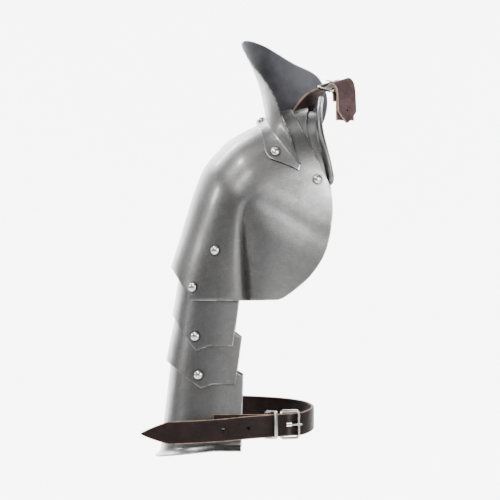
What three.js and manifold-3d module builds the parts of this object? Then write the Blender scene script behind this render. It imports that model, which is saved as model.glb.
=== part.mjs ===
// A steel pauldron for the right shoulder: a cop with two wings, a standing guard, two neck lames,
// three arm lames, and the straps and buckles that hold it to the collar and round the arm.
// Millimetres, +Z up, +X towards the neck, -Y to the front. The origin is the point of the shoulder
// that the pauldron sits on, under the crest of the neck lames.

import * as THREE from "three";
import * as BufferGeometryUtils from "three/addons/utils/BufferGeometryUtils.js";
import Module from "manifold-3d";

const wasm = await Module();
wasm.setup();

// Sheet steel and the running gap between two plates
const SHEET = 1.2;
const PLATE_GAP = 0.35;
const FACET_ALLOWANCE = 0.8;

// Cop: how far its spine reaches out and drops from its neck crest, and its half depth
const COP_CREST_X = -12.6;
const COP_CREST_Z = 0.6;
const COP_REACH = 95.2;
const COP_DROP = 126;
const COP_DEPTH = 69;
const COP_POWER = 2.4;
const CREASE_DEPTH = 7;
const CREASE_ARM_WIDTH = 3.2;
const CREASE_WING_WIDTH = 14;
const WING_BULGE = 4;
const COP_ROWS = 14;
const COP_CORNER_COLUMNS = 5;
const COP_ARM_COLUMNS = 4;
const COP_WING_COLUMNS = 6;

// Rows of the cop from the neck edge down. Out and down are shares of the reach and the drop, for
// the spine, for the crease and for the wing's edge. Round is the width of the rounded flank as a
// share of the reach, depth is a share of the half depth, and cut is a share of the crease's depth.
const COP_TABLE = [
  { spine: [0, 0], crease: [-0.278, 0.417], edge: [-0.328, 0.49], round: 0.725, depth: 0.905, cut: 0 },
  { spine: [0.13, 0.033], crease: [-0.17, 0.441], edge: [-0.34, 0.555], round: 0.68, depth: 0.928, cut: 0 },
  { spine: [0.235, 0.088], crease: [-0.05, 0.465], edge: [-0.346, 0.628], round: 0.64, depth: 0.95, cut: 0 },
  { spine: [0.39, 0.146], crease: [0.1, 0.497], edge: [-0.343, 0.69], round: 0.61, depth: 0.971, cut: 0 },
  { spine: [0.52, 0.205], crease: [0.214, 0.529], edge: [-0.333, 0.755], round: 0.6, depth: 0.99, cut: 0 },
  { spine: [0.622, 0.281], crease: [0.309, 0.56], edge: [-0.315, 0.83], round: 0.58, depth: 1, cut: 0.06 },
  { spine: [0.725, 0.379], crease: [0.375, 0.602], edge: [-0.285, 0.905], round: 0.57, depth: 1.01, cut: 0.22 },
  { spine: [0.802, 0.515], crease: [0.4, 0.671], edge: [-0.235, 0.98], round: 0.57, depth: 1.01, cut: 0.48 },
  { spine: [0.866, 0.67], crease: [0.4, 0.776], edge: [-0.146, 1.068], round: 0.58, depth: 1, cut: 0.7 },
  { spine: [0.93, 0.827], crease: [0.392, 0.886], edge: [-0.037, 1.14], round: 0.6, depth: 0.985, cut: 0.86 },
  { spine: [1, 1], crease: [0.38, 1.03], edge: [0.055, 1.19], round: 0.62, depth: 0.97, cut: 0.95 },
  { spine: [1.06, 1.21], crease: [0.363, 1.21], edge: [0.107, 1.206], round: 0.645, depth: 0.955, cut: 1 },
];

// A value between the rows of a table, on a smooth curve through them
function between(rows, share, pick) {
  const place = Math.min(Math.max(share, 0), 1) * (rows.length - 1);
  const step = Math.min(Math.floor(place), rows.length - 2);
  const t = place - step;
  const value = (index) => pick(rows[Math.min(Math.max(index, 0), rows.length - 1)]);
  const slopeAt = (index) => (value(index + 1) - value(index - 1)) / 2;
  const startSlope = step === 0 ? value(1) - value(0) : slopeAt(step);
  const endSlope = step === rows.length - 2 ? value(step + 1) - value(step) : slopeAt(step + 1);
  const a = 2 * value(step) - 2 * value(step + 1) + startSlope + endSlope;
  const b = -3 * value(step) + 3 * value(step + 1) - 2 * startSlope - endSlope;
  return ((a * t + b) * t + startSlope) * t + value(step);
}

// A point of the cop seen from the front, from its shares of the reach and the drop
function copPlace(row, name) {
  const x = COP_CREST_X - COP_REACH * between(COP_TABLE, row, (entry) => entry[name][0]);
  const z = COP_CREST_Z - COP_DROP * between(COP_TABLE, row, (entry) => entry[name][1]);
  return new THREE.Vector2(x, z);
}

// Half depth of the cop at a distance in from its spine along a row
function copDepth(row, distance, creaseDistance, edgeDistance) {
  const round = COP_REACH * between(COP_TABLE, row, (entry) => entry.round);
  const depth = COP_DEPTH * between(COP_TABLE, row, (entry) => entry.depth);
  const cut = CREASE_DEPTH * between(COP_TABLE, row, (entry) => entry.cut);
  const inward = 1 - Math.min(distance / round, 1);
  const flank = depth * Math.pow(1 - Math.pow(inward, COP_POWER), 1 / COP_POWER);
  const offset = distance - creaseDistance;
  const width = offset < 0 ? CREASE_ARM_WIDTH : CREASE_WING_WIDTH;
  const valley = cut * Math.exp(-Math.abs(offset) / width);
  const wing = Math.min(Math.max(offset / (edgeDistance - creaseDistance), 0), 1);
  const bulge = (WING_BULGE / CREASE_DEPTH) * cut * Math.sin(Math.PI * Math.pow(wing, 0.8));
  return flank - valley + bulge;
}

// A point of the cop's outer face. Across runs from 0 on the spine over 1 on the crease to 2 on the
// wing's edge, and side is -1 in front and 1 behind.
function copPoint(row, across, side) {
  const spine = copPlace(row, "spine");
  const crease = copPlace(row, "crease");
  const edge = copPlace(row, "edge");
  const creaseDistance = spine.distanceTo(crease);
  const edgeDistance = creaseDistance + crease.distanceTo(edge);
  const place = across < 1
    ? spine.clone().lerp(crease, across)
    : crease.clone().lerp(edge, across - 1);
  const distance = across < 1
    ? creaseDistance * across
    : creaseDistance + (edgeDistance - creaseDistance) * (across - 1);
  const depth = copDepth(row, distance, creaseDistance, edgeDistance);
  return new THREE.Vector3(place.x, side * depth, place.y);
}

// Lower edge of the cop: level from the crease to a corner, then a straight cut up to the spine
const COP_CORNER_ACROSS = 0.339;
const COP_APEX_ROW = 10 / 11;

// All columns of a plate: the given shares round its rear half, then those round its front half
function bothSides(front) {
  const rear = front.slice(1).reverse().map((across) => [across, 1]);
  return [...rear, ...front.map((across) => [across, -1])];
}

// The row where a column of the cop ends: the last row, or where it meets the straight cut
function copLastRow(across) {
  if (across >= COP_CORNER_ACROSS) {
    return 1;
  }
  const apex = copPoint(COP_APEX_ROW, 0, -1);
  const corner = copPoint(1, COP_CORNER_ACROSS, -1);
  const slope = (corner.z - apex.z) / (corner.x - apex.x);
  let high = COP_APEX_ROW;
  let low = 1;
  for (let turn = 0; turn < 24; turn += 1) {
    const middle = (high + low) / 2;
    const point = copPoint(middle, across, -1);
    const above = point.z > apex.z + slope * (point.x - apex.x);
    high = above ? middle : high;
    low = above ? low : middle;
  }
  return (high + low) / 2;
}

// A closed sheet from a grid of outer points, with its thickness on the inner side
function sheetFromGrid(grid, thickness) {
  const rows = grid.length;
  const columns = grid[0].length;
  const outer = grid.flat();
  const faces = [];
  for (let r = 0; r < rows - 1; r += 1) {
    for (let c = 0; c < columns - 1; c += 1) {
      const a = r * columns + c;
      const b = a + 1;
      const d = a + columns;
      faces.push([a, d, b], [b, d, d + 1]);
    }
  }
  const normals = outer.map(() => new THREE.Vector3());
  for (const [a, b, c] of faces) {
    const edge = outer[b].clone().sub(outer[a]);
    const normal = edge.cross(outer[c].clone().sub(outer[a]));
    normals[a].add(normal);
    normals[b].add(normal);
    normals[c].add(normal);
  }
  const inner = outer.map((point, i) => point.clone().addScaledVector(normals[i].normalize(), -thickness));
  const shift = outer.length;
  const rim = [];
  for (let c = 0; c < columns - 1; c += 1) {
    rim.push([c, c + 1]);
    rim.push([(rows - 1) * columns + c + 1, (rows - 1) * columns + c]);
  }
  for (let r = 0; r < rows - 1; r += 1) {
    rim.push([(r + 1) * columns, r * columns]);
    rim.push([r * columns + columns - 1, (r + 1) * columns + columns - 1]);
  }
  const all = [...faces];
  for (const [a, b, c] of faces) {
    all.push([a + shift, c + shift, b + shift]);
  }
  for (const [a, b] of rim) {
    all.push([a, b, b + shift], [a, b + shift, a + shift]);
  }
  return geometryFrom([...outer, ...inner], all);
}

function geometryFrom(points, faces) {
  const geometry = new THREE.BufferGeometry();
  geometry.setFromPoints(points);
  geometry.setIndex(faces.flat());
  return geometry;
}

// A closed bar through rings of points, all with the same count, capped at both ends
function barThroughRings(rings) {
  const count = rings[0].length;
  const faces = [];
  for (let r = 0; r < rings.length - 1; r += 1) {
    for (let k = 0; k < count; k += 1) {
      const a = r * count + k;
      const b = r * count + (k + 1) % count;
      faces.push([a, b, a + count], [b, b + count, a + count]);
    }
  }
  const last = (rings.length - 1) * count;
  const contour = rings[0].map((point) => point.clone());
  for (const [a, b, c] of capFaces(contour)) {
    faces.push([a, c, b], [last + a, last + b, last + c]);
  }
  return geometryFrom(rings.flat(), faces);
}

// Triangles over one flat ring, found in the ring's own plane
function capFaces(ring) {
  const normal = new THREE.Vector3();
  const first = ring[0];
  for (let k = 1; k < ring.length - 1; k += 1) {
    normal.add(ring[k].clone().sub(first).cross(ring[k + 1].clone().sub(first)));
  }
  const turn = new THREE.Quaternion().setFromUnitVectors(normal.normalize(), new THREE.Vector3(0, 0, 1));
  const flat = ring.map((point) => point.clone().sub(first).applyQuaternion(turn));
  return THREE.ShapeUtils.triangulateShape(flat.map((point) => new THREE.Vector2(point.x, point.y)), []);
}

function toSolid(geometry) {
  const bare = geometry.clone();
  bare.deleteAttribute("normal");
  bare.deleteAttribute("uv");
  const merged = BufferGeometryUtils.mergeVertices(bare);
  const vertProperties = Float32Array.from(merged.attributes.position.array);
  const triVerts = Uint32Array.from(merged.index.array);
  return new wasm.Manifold(new wasm.Mesh({ numProp: 3, vertProperties, triVerts }));
}

function fromSolid(solid) {
  const mesh = solid.getMesh();
  const geometry = new THREE.BufferGeometry();
  geometry.setAttribute("position", new THREE.BufferAttribute(Float32Array.from(mesh.vertProperties), 3));
  geometry.setIndex(Array.from(mesh.triVerts));
  return geometry;
}

// Cuts round holes, each given by its middle, its direction, its radius and its reach
function drilled(geometry, holes) {
  let solid = toSolid(geometry);
  for (const hole of holes) {
    const drill = new THREE.CylinderGeometry(hole.radius, hole.radius, 2 * hole.reach, HOLE_SIDES);
    const turn = new THREE.Quaternion().setFromUnitVectors(new THREE.Vector3(0, 1, 0), hole.direction);
    drill.applyQuaternion(turn);
    drill.translate(hole.middle.x, hole.middle.y, hole.middle.z);
    solid = solid.subtract(toSolid(drill));
  }
  return fromSolid(solid);
}

function makeCop(holes) {
  const front = [];
  for (let c = 0; c <= COP_CORNER_COLUMNS; c += 1) {
    front.push(COP_CORNER_ACROSS * Math.pow(c / COP_CORNER_COLUMNS, 2));
  }
  for (let c = 1; c <= COP_ARM_COLUMNS; c += 1) {
    front.push(COP_CORNER_ACROSS + (1 - COP_CORNER_ACROSS) * (c / COP_ARM_COLUMNS));
  }
  for (let c = 1; c <= COP_WING_COLUMNS; c += 1) {
    front.push(1 + c / COP_WING_COLUMNS);
  }
  const columns = bothSides(front);
  const grid = [];
  for (let r = 0; r <= COP_ROWS; r += 1) {
    grid.push(columns.map(([across, side]) => copPoint(copLastRow(across) * (r / COP_ROWS), across, side)));
  }
  return drilled(sheetFromGrid(grid, SHEET), holes);
}

// Rivets: a domed head, a shank through the plates and a flat tail
const RIVET_HEAD = 3.65;
const RIVET_LIFT = 0.25;
const RIVET_HEIGHT = 2.3;
const RIVET_SHANK = 1.6;
const RIVET_TAIL = 2.7;
const RIVET_TAIL_THICK = 0.9;
const RIVET_CLEARANCE = 0.4;
const RIVET_SIDES = 8;
const HOLE_SIDES = 8;

// A rivet whose head sits on a place of the outer face and whose shank passes through a stack of plates
function makeRivet(stack) {
  const tailTop = -stack - RIVET_CLEARANCE;
  const profile = [
    [0, tailTop - RIVET_TAIL_THICK],
    [RIVET_TAIL, tailTop - RIVET_TAIL_THICK],
    [RIVET_TAIL, tailTop],
    [RIVET_SHANK, tailTop],
    [RIVET_SHANK, RIVET_CLEARANCE],
    [RIVET_HEAD, RIVET_CLEARANCE],
    [RIVET_HEAD * 0.72, RIVET_CLEARANCE + RIVET_HEIGHT * 0.74],
    [0, RIVET_CLEARANCE + RIVET_HEIGHT],
  ];
  return new THREE.LatheGeometry(profile.map(([r, h]) => new THREE.Vector2(r, h)), RIVET_SIDES);
}

// Arm lames: each is a half tube that opens towards the body. Silhouette and depth are given at the
// top and the foot of the spine's height range; the middle of the tube is shared.
const ARM_MIDDLE_X = COP_CREST_X - COP_REACH / 2 + 0.2;
const ARM_REACH = COP_REACH / 2;
const ARM_INNER_X = COP_CREST_X - (COP_REACH * 3) / 7;
const ARM_DEPTH = COP_DEPTH * 0.955 - 8.695;
const ARM_POWER = 2.8;
const LAMES = [
  {
    name: "arm_lame_upper", spineTop: -110, spineFoot: -163.6, cornerTop: -130, cornerFoot: -191.4,
    innerTop: -151.4, innerFoot: -187.6, cornerX: ARM_MIDDLE_X - 27.6, innerTopX: ARM_INNER_X,
    innerFootX: ARM_INNER_X - 4.9, outTop: ARM_REACH - 10.1, flare: 0.172, depth: ARM_DEPTH + 4,
    taper: 0.005, lip: 0,
  },
  {
    name: "arm_lame_middle", spineTop: -150, spineFoot: -199.4, cornerTop: -168, cornerFoot: -220.8,
    innerTop: -181.7, innerFoot: -217.6, cornerX: ARM_MIDDLE_X - 23.6, innerTopX: ARM_INNER_X + 2,
    innerFootX: ARM_INNER_X - 2.9, outTop: ARM_REACH - 6.2, flare: 0.208, depth: ARM_DEPTH + 1.4,
    taper: 0.03, lip: 0,
  },
  {
    name: "arm_lame_lower", spineTop: -187, spineFoot: -270, cornerTop: -200, cornerFoot: -266,
    innerTop: -211.4, innerFoot: -264.8, cornerX: ARM_MIDDLE_X - 24, innerTopX: ARM_INNER_X + 3,
    innerFootX: ARM_INNER_X + 1.6, outTop: ARM_REACH - 1.2, flare: 0.118, depth: ARM_DEPTH,
    taper: 0.03, lip: 5,
  },
];
const LAME_CORNER_COLUMNS = 5;
const LAME_INNER_COLUMNS = 4;
const LAME_ROWS = 3;

// How far the corner lies out of the tube's middle, as a share of the tube's reach at its foot
function lameCornerShare(lame) {
  return (ARM_MIDDLE_X - lame.cornerX) / (lame.outTop + lame.flare * (lame.spineTop - lame.cornerFoot));
}

// Where a lame's outer face lies at a share round its flank: 0 on the spine, 1 on the corner, 2 inside
function lamePoint(lame, height, across, side) {
  const drop = lame.spineTop - height;
  const out = lame.outTop + lame.flare * drop;
  const depth = lame.depth + lame.taper * drop;
  const cornerAngle = Math.acos(Math.pow(lameCornerShare(lame), ARM_POWER / 2));
  const angle = Math.min(across, 1) * cornerAngle;
  let x = ARM_MIDDLE_X - out * Math.pow(Math.cos(angle), 2 / ARM_POWER);
  if (across > 1) {
    const t = (lame.innerTop - height) / (lame.innerTop - lame.innerFoot);
    const innerX = lame.innerTopX + (lame.innerFootX - lame.innerTopX) * t;
    x += (innerX - x) * (across - 1);
  }
  const inward = Math.min(Math.abs(x - ARM_MIDDLE_X) / out, 1);
  const y = depth * Math.pow(Math.max(1 - Math.pow(inward, ARM_POWER), 0), 1 / ARM_POWER);
  return new THREE.Vector3(x, side * y, height);
}

// Top and foot of a lame at a share round it. The foot is straight from the spine to the corner in
// the front view, and level from there to the inner edge.
function lameEnds(lame, across) {
  const cornerShare = lameCornerShare(lame);
  const cornerAngle = Math.acos(Math.pow(cornerShare, ARM_POWER / 2));
  if (across <= 1) {
    const share = (1 - Math.pow(Math.cos(across * cornerAngle), 2 / ARM_POWER)) / (1 - cornerShare);
    const foot = lame.spineFoot + (lame.cornerFoot - lame.spineFoot) * share;
    const top = lame.spineTop + (lame.cornerTop - lame.spineTop) * share;
    return [top, foot];
  }
  const t = across - 1;
  const foot = lame.cornerFoot + (lame.innerFoot - lame.cornerFoot) * Math.min(t * 3, 1);
  const top = lame.cornerTop + (lame.innerTop - lame.cornerTop) * Math.pow(t, 1.6);
  return [top, foot];
}

function makeLame(lame, holes) {
  const front = [];
  for (let c = 0; c <= LAME_CORNER_COLUMNS; c += 1) {
    front.push(c / LAME_CORNER_COLUMNS);
  }
  for (let c = 1; c <= LAME_INNER_COLUMNS; c += 1) {
    front.push(1 + c / LAME_INNER_COLUMNS);
  }
  const columns = bothSides(front);
  const grid = [];
  for (let r = 0; r <= LAME_ROWS; r += 1) {
    grid.push(columns.map(([across, side]) => {
      const [top, foot] = lameEnds(lame, across);
      return lamePoint(lame, top + (foot - top) * (r / LAME_ROWS), across, side);
    }));
  }
  if (lame.lip > 0) {
    for (const share of [0.35, 0.7, 1]) {
      grid.push(columns.map(([across, side]) => {
        const foot = lameEnds(lame, across)[1];
        const point = lamePoint(lame, foot, across, side);
        const level = new THREE.Vector3(point.x - ARM_MIDDLE_X, point.y, 0);
        const flank = Math.min(across, 1);
        level.x *= 1 - flank;
        level.normalize();
        point.addScaledVector(level, lame.lip * Math.pow(share, 1.5) * 0.9);
        point.z -= lame.lip * share;
        return point;
      }));
    }
  }
  return drilled(sheetFromGrid(grid, SHEET), holes);
}

// Standing guard: a flange riveted to the cop and a wall that rises from its crease to a rim
const GUARD_SPAN = 40;
const GUARD_DEPTH = COP_DEPTH - 3;
const GUARD_RISE = 54;
const GUARD_BOW = 3;
const GUARD_GAP = 0.75;
const GUARD_COLUMNS = 24;
const GUARD_WALL_ROWS = 5;

// Stations of the guard from its front foot to its rear foot. Base and flange are a row of the cop
// and a root share round it, minus in front. Rim holds shares of the span out from the neck crest,
// of the depth and of the rise.
const GUARD_TABLE = [
  { base: [0.121, -0.897], flange: [0.142, -0.925], rim: [-0.16, -0.985, -0.81] },
  { base: [0.139, -0.77], flange: [0.197, -0.832], rim: [0, -0.925, -0.457] },
  { base: [0.153, -0.601], flange: [0.242, -0.716], rim: [0.195, -0.77, -0.12] },
  { base: [0.16, -0.366], flange: [0.219, -0.49], rim: [0.36, -0.58, 0.2] },
  { base: [0.158, -0.173], flange: [0.212, -0.22], rim: [0.6, -0.35, 0.48] },
  { base: [0.155, 0], flange: [0.213, 0], rim: [0.86, -0.1, 0.74] },
  { base: [0.158, 0.173], flange: [0.212, 0.22], rim: [0.975, 0.15, 1] },
  { base: [0.16, 0.366], flange: [0.219, 0.49], rim: [0.585, 0.5, 0.965] },
  { base: [0.153, 0.601], flange: [0.242, 0.716], rim: [-0.015, 0.74, 0.72] },
  { base: [0.139, 0.77], flange: [0.197, 0.832], rim: [-0.565, 0.9, 0.49] },
  { base: [0.13, 0.84], flange: [0.165, 0.889], rim: [-0.72, 1, 0.02] },
  { base: [0.121, 0.897], flange: [0.142, 0.925], rim: [-0.24, 1.03, -0.74] },
];

// A place of the guard's flange, one plate and a running gap above the cop
function guardSeat(share, name) {
  const row = between(GUARD_TABLE, share, (entry) => entry[name][0]);
  const root = between(GUARD_TABLE, share, (entry) => entry[name][1]);
  const side = root < 0 ? -1 : 1;
  const across = Math.max(root * root, 1e-5);
  const normal = copOutward(row, across, side);
  return copPoint(row, across, side).addScaledVector(normal, SHEET + GUARD_GAP);
}

// Outward direction of the cop at a place
function copOutward(row, across, side) {
  const step = Math.min(0.004, across * 0.4);
  const round = copPoint(row, across + step, side).sub(copPoint(row, Math.max(across - step, 0), side));
  const down = copPoint(row + 0.01, across, side).sub(copPoint(Math.max(row - 0.01, 0), across, side));
  const normal = round.cross(down).normalize();
  return normal.dot(new THREE.Vector3(0, side, 0.4)) < 0 ? normal.negate() : normal;
}

function guardPoint(share, up) {
  const base = guardSeat(share, "base");
  const rim = new THREE.Vector3(
    COP_CREST_X - GUARD_SPAN * between(GUARD_TABLE, share, (entry) => entry.rim[0]),
    GUARD_DEPTH * between(GUARD_TABLE, share, (entry) => entry.rim[1]),
    GUARD_RISE * between(GUARD_TABLE, share, (entry) => entry.rim[2]),
  );
  const height = rim.distanceTo(base) / GUARD_RISE;
  const point = base.lerp(rim, up);
  point.x += GUARD_BOW * height * Math.sin(Math.PI * up);
  return point;
}

function makeGuard(holes) {
  const grid = [];
  for (const reach of [1, 0.5]) {
    grid.push(guardRow((share) => guardSeat(share, "base").lerp(guardSeat(share, "flange"), reach)));
  }
  for (let r = 0; r <= GUARD_WALL_ROWS; r += 1) {
    grid.push(guardRow((share) => guardPoint(share, r / GUARD_WALL_ROWS)));
  }
  return drilled(sheetFromGrid(grid, SHEET), holes);
}

function guardRow(pointAt) {
  const row = [];
  for (let c = 0; c <= GUARD_COLUMNS; c += 1) {
    row.push(pointAt(c / GUARD_COLUMNS));
  }
  return row;
}

// Neck lames: two narrow arches that turn about the rivets at the foot of the cop's neck edge
const NECK_PIVOT_X = 8.3;
const NECK_PIVOT_Z = -56.4;
const NECK_POWER = 2.15;
const NECK_EAR = 6.3;
const NECK_ARCH_ROWS = 8;
const ROLL_RADIUS = 2.3;
const ROLL_RISE = 9;
const ROLL_FOOT_RISE = 3;
const ROLL_TUCK = -1.9;
const NECK_LAMES = [
  {
    name: "neck_lame_outer", lean: 110, radius: 58, depth: COP_DEPTH - 8.8, rolled: false, cover: 12.5,
    edge: [-6.3, -4.2, -4.2, -4.6, -7.6, -13.3],
  },
  {
    name: "neck_lame_inner", lean: 100, radius: 55.2, depth: COP_DEPTH - 10.7, rolled: true, cover: 12,
    edge: [-7.8, -7.4, -6.4, -5.6, -6.6, -9.6],
  },
];

// A place of a neck lame, a distance up from its pivot along its middle and aside from it
function neckPlace(lame, up, aside, side) {
  const lean = THREE.MathUtils.degToRad(lame.lean);
  const radius = Math.min(Math.hypot(up, aside), lame.radius);
  const share = Math.pow(radius / lame.radius, NECK_POWER);
  const y = lame.depth * Math.pow(Math.max(1 - share, 0), 1 / NECK_POWER);
  const x = NECK_PIVOT_X + up * Math.cos(lean) - aside * Math.sin(lean);
  const z = NECK_PIVOT_Z + up * Math.sin(lean) + aside * Math.cos(lean);
  return new THREE.Vector3(x, side * y, z);
}

function neckOutward(lame, place) {
  const x = place.x - NECK_PIVOT_X;
  const z = place.z - NECK_PIVOT_Z;
  const radius = Math.max(Math.hypot(x, z), 1e-6);
  const out = Math.pow(radius / lame.radius, NECK_POWER - 1) / lame.radius;
  const y = Math.sign(place.y) * Math.pow(Math.abs(place.y) / lame.depth, NECK_POWER - 1) / lame.depth;
  return new THREE.Vector3(out * x / radius, y, out * z / radius).normalize();
}

function neckLameRow(lame, arch, side) {
  const ears = [[0, 1], [-0.6, 0.95], [-1, 0.7]];
  const share = arch <= NECK_ARCH_ROWS ? Math.cos((arch / NECK_ARCH_ROWS) * Math.PI / 2) : 0;
  const radius = lame.radius * Math.pow(Math.max(share, 0), 2 / NECK_POWER);
  const ear = ears[Math.max(arch - NECK_ARCH_ROWS, 0)];
  const narrow = ear[1];
  const height = radius / lame.radius;
  const edge = between(lame.edge, height, (entry) => entry) * narrow;
  const cover = (NECK_EAR + (lame.cover - NECK_EAR) * height) * narrow;
  const row = [];
  const place = (aside) => {
    const sag = height * height * (lame.radius - Math.sqrt(lame.radius ** 2 - aside ** 2));
    return neckPlace(lame, radius - sag + ear[0] * NECK_EAR, aside, side);
  };
  for (const t of [0, 0.33, 0.66, 1]) {
    row.push(place(cover + (edge - cover) * t));
  }
  if (lame.rolled) {
    const foot = row[row.length - 1];
    const normal = neckOutward(lame, foot);
    const lean = THREE.MathUtils.degToRad(lame.lean);
    const inward = new THREE.Vector3(Math.sin(lean), 0, -Math.cos(lean));
    const above = ROLL_FOOT_RISE + (ROLL_RISE - ROLL_FOOT_RISE) * height;
    const rise = arch > NECK_ARCH_ROWS ? ROLL_TUCK : above;
    for (const turn of [180, 135, 90, 45, 0, -45]) {
      const angle = THREE.MathUtils.degToRad(turn);
      const out = rise + ROLL_RADIUS * Math.sin(angle);
      const along = 0.6 + ROLL_RADIUS * (1 + Math.cos(angle));
      row.push(foot.clone().addScaledVector(normal, out).addScaledVector(inward, along));
    }
  }
  return row;
}

function makeNeckLame(lame, holes) {
  const count = NECK_ARCH_ROWS + 2;
  const grid = [];
  for (let arch = count; arch >= 1; arch -= 1) {
    grid.push(neckLameRow(lame, arch, 1));
  }
  for (let arch = 0; arch <= count; arch += 1) {
    grid.push(neckLameRow(lame, arch, -1));
  }
  return drilled(sheetFromGrid(grid, SHEET), holes);
}

// Straps, their chapes and their buckles
const STRAP_WIDE = 18;
const STRAP_THICK = 2.2;
const CHAPE_THICK = 1.6;
const CHAPE_SHARE = 0.95;
const STRAP_GAP = 0.35;
const STRAP_HOLE = 1.3;
const WIRE = 1.15;
const FRAME_LONG = 18;
const FRAME_WIDE = STRAP_WIDE + 5.6;
const BAR_CLEAR = WIRE * 1.42 + 0.5;
const PRONG_WIDE = 1.9;
const KEEPER_WIDE = 3;
const KEEPER_THICK = 1.1;

// A strap through a list of stations, each a place, the direction of its width and a width share
function strapThrough(stations, thickness) {
  const rings = stations.map((station, index) => {
    const before = stations[Math.max(index - 1, 0)].place;
    const after = stations[Math.min(index + 1, stations.length - 1)].place;
    const run = after.clone().sub(before).normalize();
    const wide = station.wide.clone().addScaledVector(run, -station.wide.dot(run)).normalize();
    const face = run.clone().cross(wide).multiplyScalar(thickness / 2);
    wide.multiplyScalar(STRAP_WIDE / 2 * station.share);
    return [
      station.place.clone().add(wide).add(face),
      station.place.clone().add(face),
      station.place.clone().sub(wide).add(face),
      station.place.clone().sub(wide).sub(face),
      station.place.clone().sub(face),
      station.place.clone().add(wide).sub(face),
    ];
  });
  return barThroughRings(rings);
}

// Stations on a smooth curve through a few places, two to each stretch, with a pointed end of the
// given length at the start
function stationsAlong(places, wideAt, point) {
  const curve = new THREE.CatmullRomCurve3(places, false, "centripetal");
  const stretches = places.length - 1;
  const pointed = point / places[0].distanceTo(places[1]) / stretches;
  const shares = [0, 0.3, 0.65].map((step) => [step * pointed, Math.max(Math.pow(step, 0.75), 0.12)]);
  shares.push([pointed, 1]);
  for (let k = 1; k <= 2 * stretches; k += 1) {
    const t = k / (2 * stretches);
    if (t > pointed * 1.1) {
      shares.push([t, 1]);
    }
  }
  return shares.map(([t, share]) => ({ place: curve.getPoint(t), wide: wideAt(t), share }));
}

// A buckle's own frame: bar is the middle of the bar that the chape holds, along points to the far
// bar, wide runs along the bars and face points away from what the strap lies on
function buckleFrame(bar, along, wide) {
  const run = along.clone().normalize();
  const face = run.clone().cross(wide).normalize();
  const cross = face.clone().cross(run).normalize();
  const matrix = new THREE.Matrix4().makeBasis(run, cross, face).setPosition(bar);
  const place = (x, y, z) => new THREE.Vector3(x, y, z).applyMatrix4(matrix);
  return { place, matrix, wide: cross };
}

function roundedRectangle(shape, long, wide, corner) {
  const x = long / 2 - corner;
  const y = wide / 2 - corner;
  shape.absarc(x, y, corner, 0, Math.PI / 2, false);
  shape.absarc(-x, y, corner, Math.PI / 2, Math.PI, false);
  shape.absarc(-x, -y, corner, Math.PI, Math.PI * 1.5, false);
  shape.absarc(x, -y, corner, Math.PI * 1.5, Math.PI * 2, false);
  return shape;
}

// The frame: a flat ring of wire round the strap, with both bars inside the frame's length
function makeBuckle(buckle) {
  const outer = roundedRectangle(new THREE.Shape(), FRAME_LONG + 2 * WIRE, FRAME_WIDE, 3.5);
  outer.holes.push(roundedRectangle(new THREE.Path(), FRAME_LONG - 2 * WIRE, FRAME_WIDE - 4 * WIRE, 1.4));
  const ring = new THREE.ExtrudeGeometry(outer, { depth: 2 * WIRE, bevelEnabled: false, curveSegments: 3 });
  ring.translate(FRAME_LONG / 2, 0, -WIRE);
  return ring.applyMatrix4(buckle.matrix);
}

// The prong: an eye round the chape's bar and a bent finger that rests on the far bar
function makeProng(buckle) {
  const eye = BAR_CLEAR;
  const thick = 1.5;
  const top = BAR_CLEAR + thick;
  const shape = new THREE.Shape();
  shape.absarc(0, 0, eye + thick, Math.PI * 0.42, Math.PI * 1.9, false);
  shape.lineTo(eye + thick + 1, top - thick - 0.2);
  shape.lineTo(FRAME_LONG + WIRE + 0.6, top - thick);
  shape.lineTo(FRAME_LONG + WIRE + 0.6, top);
  shape.lineTo(eye + thick, top + 0.6);
  const hole = new THREE.Path();
  hole.absarc(0, 0, eye, 0, Math.PI * 2, true);
  shape.holes.push(hole);
  const options = { depth: PRONG_WIDE, bevelEnabled: false, curveSegments: 8 };
  const prong = new THREE.ExtrudeGeometry(shape, options);
  prong.rotateX(Math.PI / 2);
  prong.translate(0, PRONG_WIDE / 2, 0);
  return prong.applyMatrix4(buckle.matrix);
}

// A chape: a strap end folded round its bar, with a slot for the prong at the fold
function makeChape(buckle, farPlaces, wideFar, turns, tail, holes) {
  const fold = BAR_CLEAR + CHAPE_THICK / 2;
  const steps = 8;
  const atTurn = (turn) => {
    const angle = THREE.MathUtils.degToRad(turn);
    return buckle.place(fold * Math.cos(angle), 0, fold * Math.sin(angle));
  };
  const curve = new THREE.CatmullRomCurve3([...farPlaces, atTurn(turns[0])], false, "centripetal");
  const stations = [];
  for (let k = 0; k <= steps; k += 1) {
    const wide = wideFar.clone().lerp(buckle.wide, k / steps);
    stations.push({ place: curve.getPointAt(k / steps), wide, share: CHAPE_SHARE });
  }
  for (const turn of turns.slice(1)) {
    stations.push({ place: atTurn(turn), wide: buckle.wide, share: CHAPE_SHARE });
  }
  stations.push({ place: tail, wide: buckle.wide, share: CHAPE_SHARE });
  const slot = new THREE.BoxGeometry(2 * fold + 8, PRONG_WIDE + 2 * STRAP_GAP, 4 * fold);
  slot.translate(fold, 0, 0);
  slot.applyMatrix4(buckle.matrix);
  const solid = toSolid(strapThrough(stations, CHAPE_THICK)).subtract(toSolid(slot));
  return drilled(fromSolid(solid), holes);
}

// A strap with its free end pointed, punched along its length and slotted where the prong comes up
function makeStrap(stations, buckle, holes) {
  const slot = new THREE.BoxGeometry(FRAME_LONG * 0.7, PRONG_WIDE + 2 * STRAP_GAP, 4 * FRAME_LONG);
  slot.translate(FRAME_LONG * 0.42, 0, 0);
  slot.applyMatrix4(buckle.matrix);
  const solid = toSolid(strapThrough(stations, STRAP_THICK)).subtract(toSolid(slot));
  return drilled(fromSolid(solid), holes);
}

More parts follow.
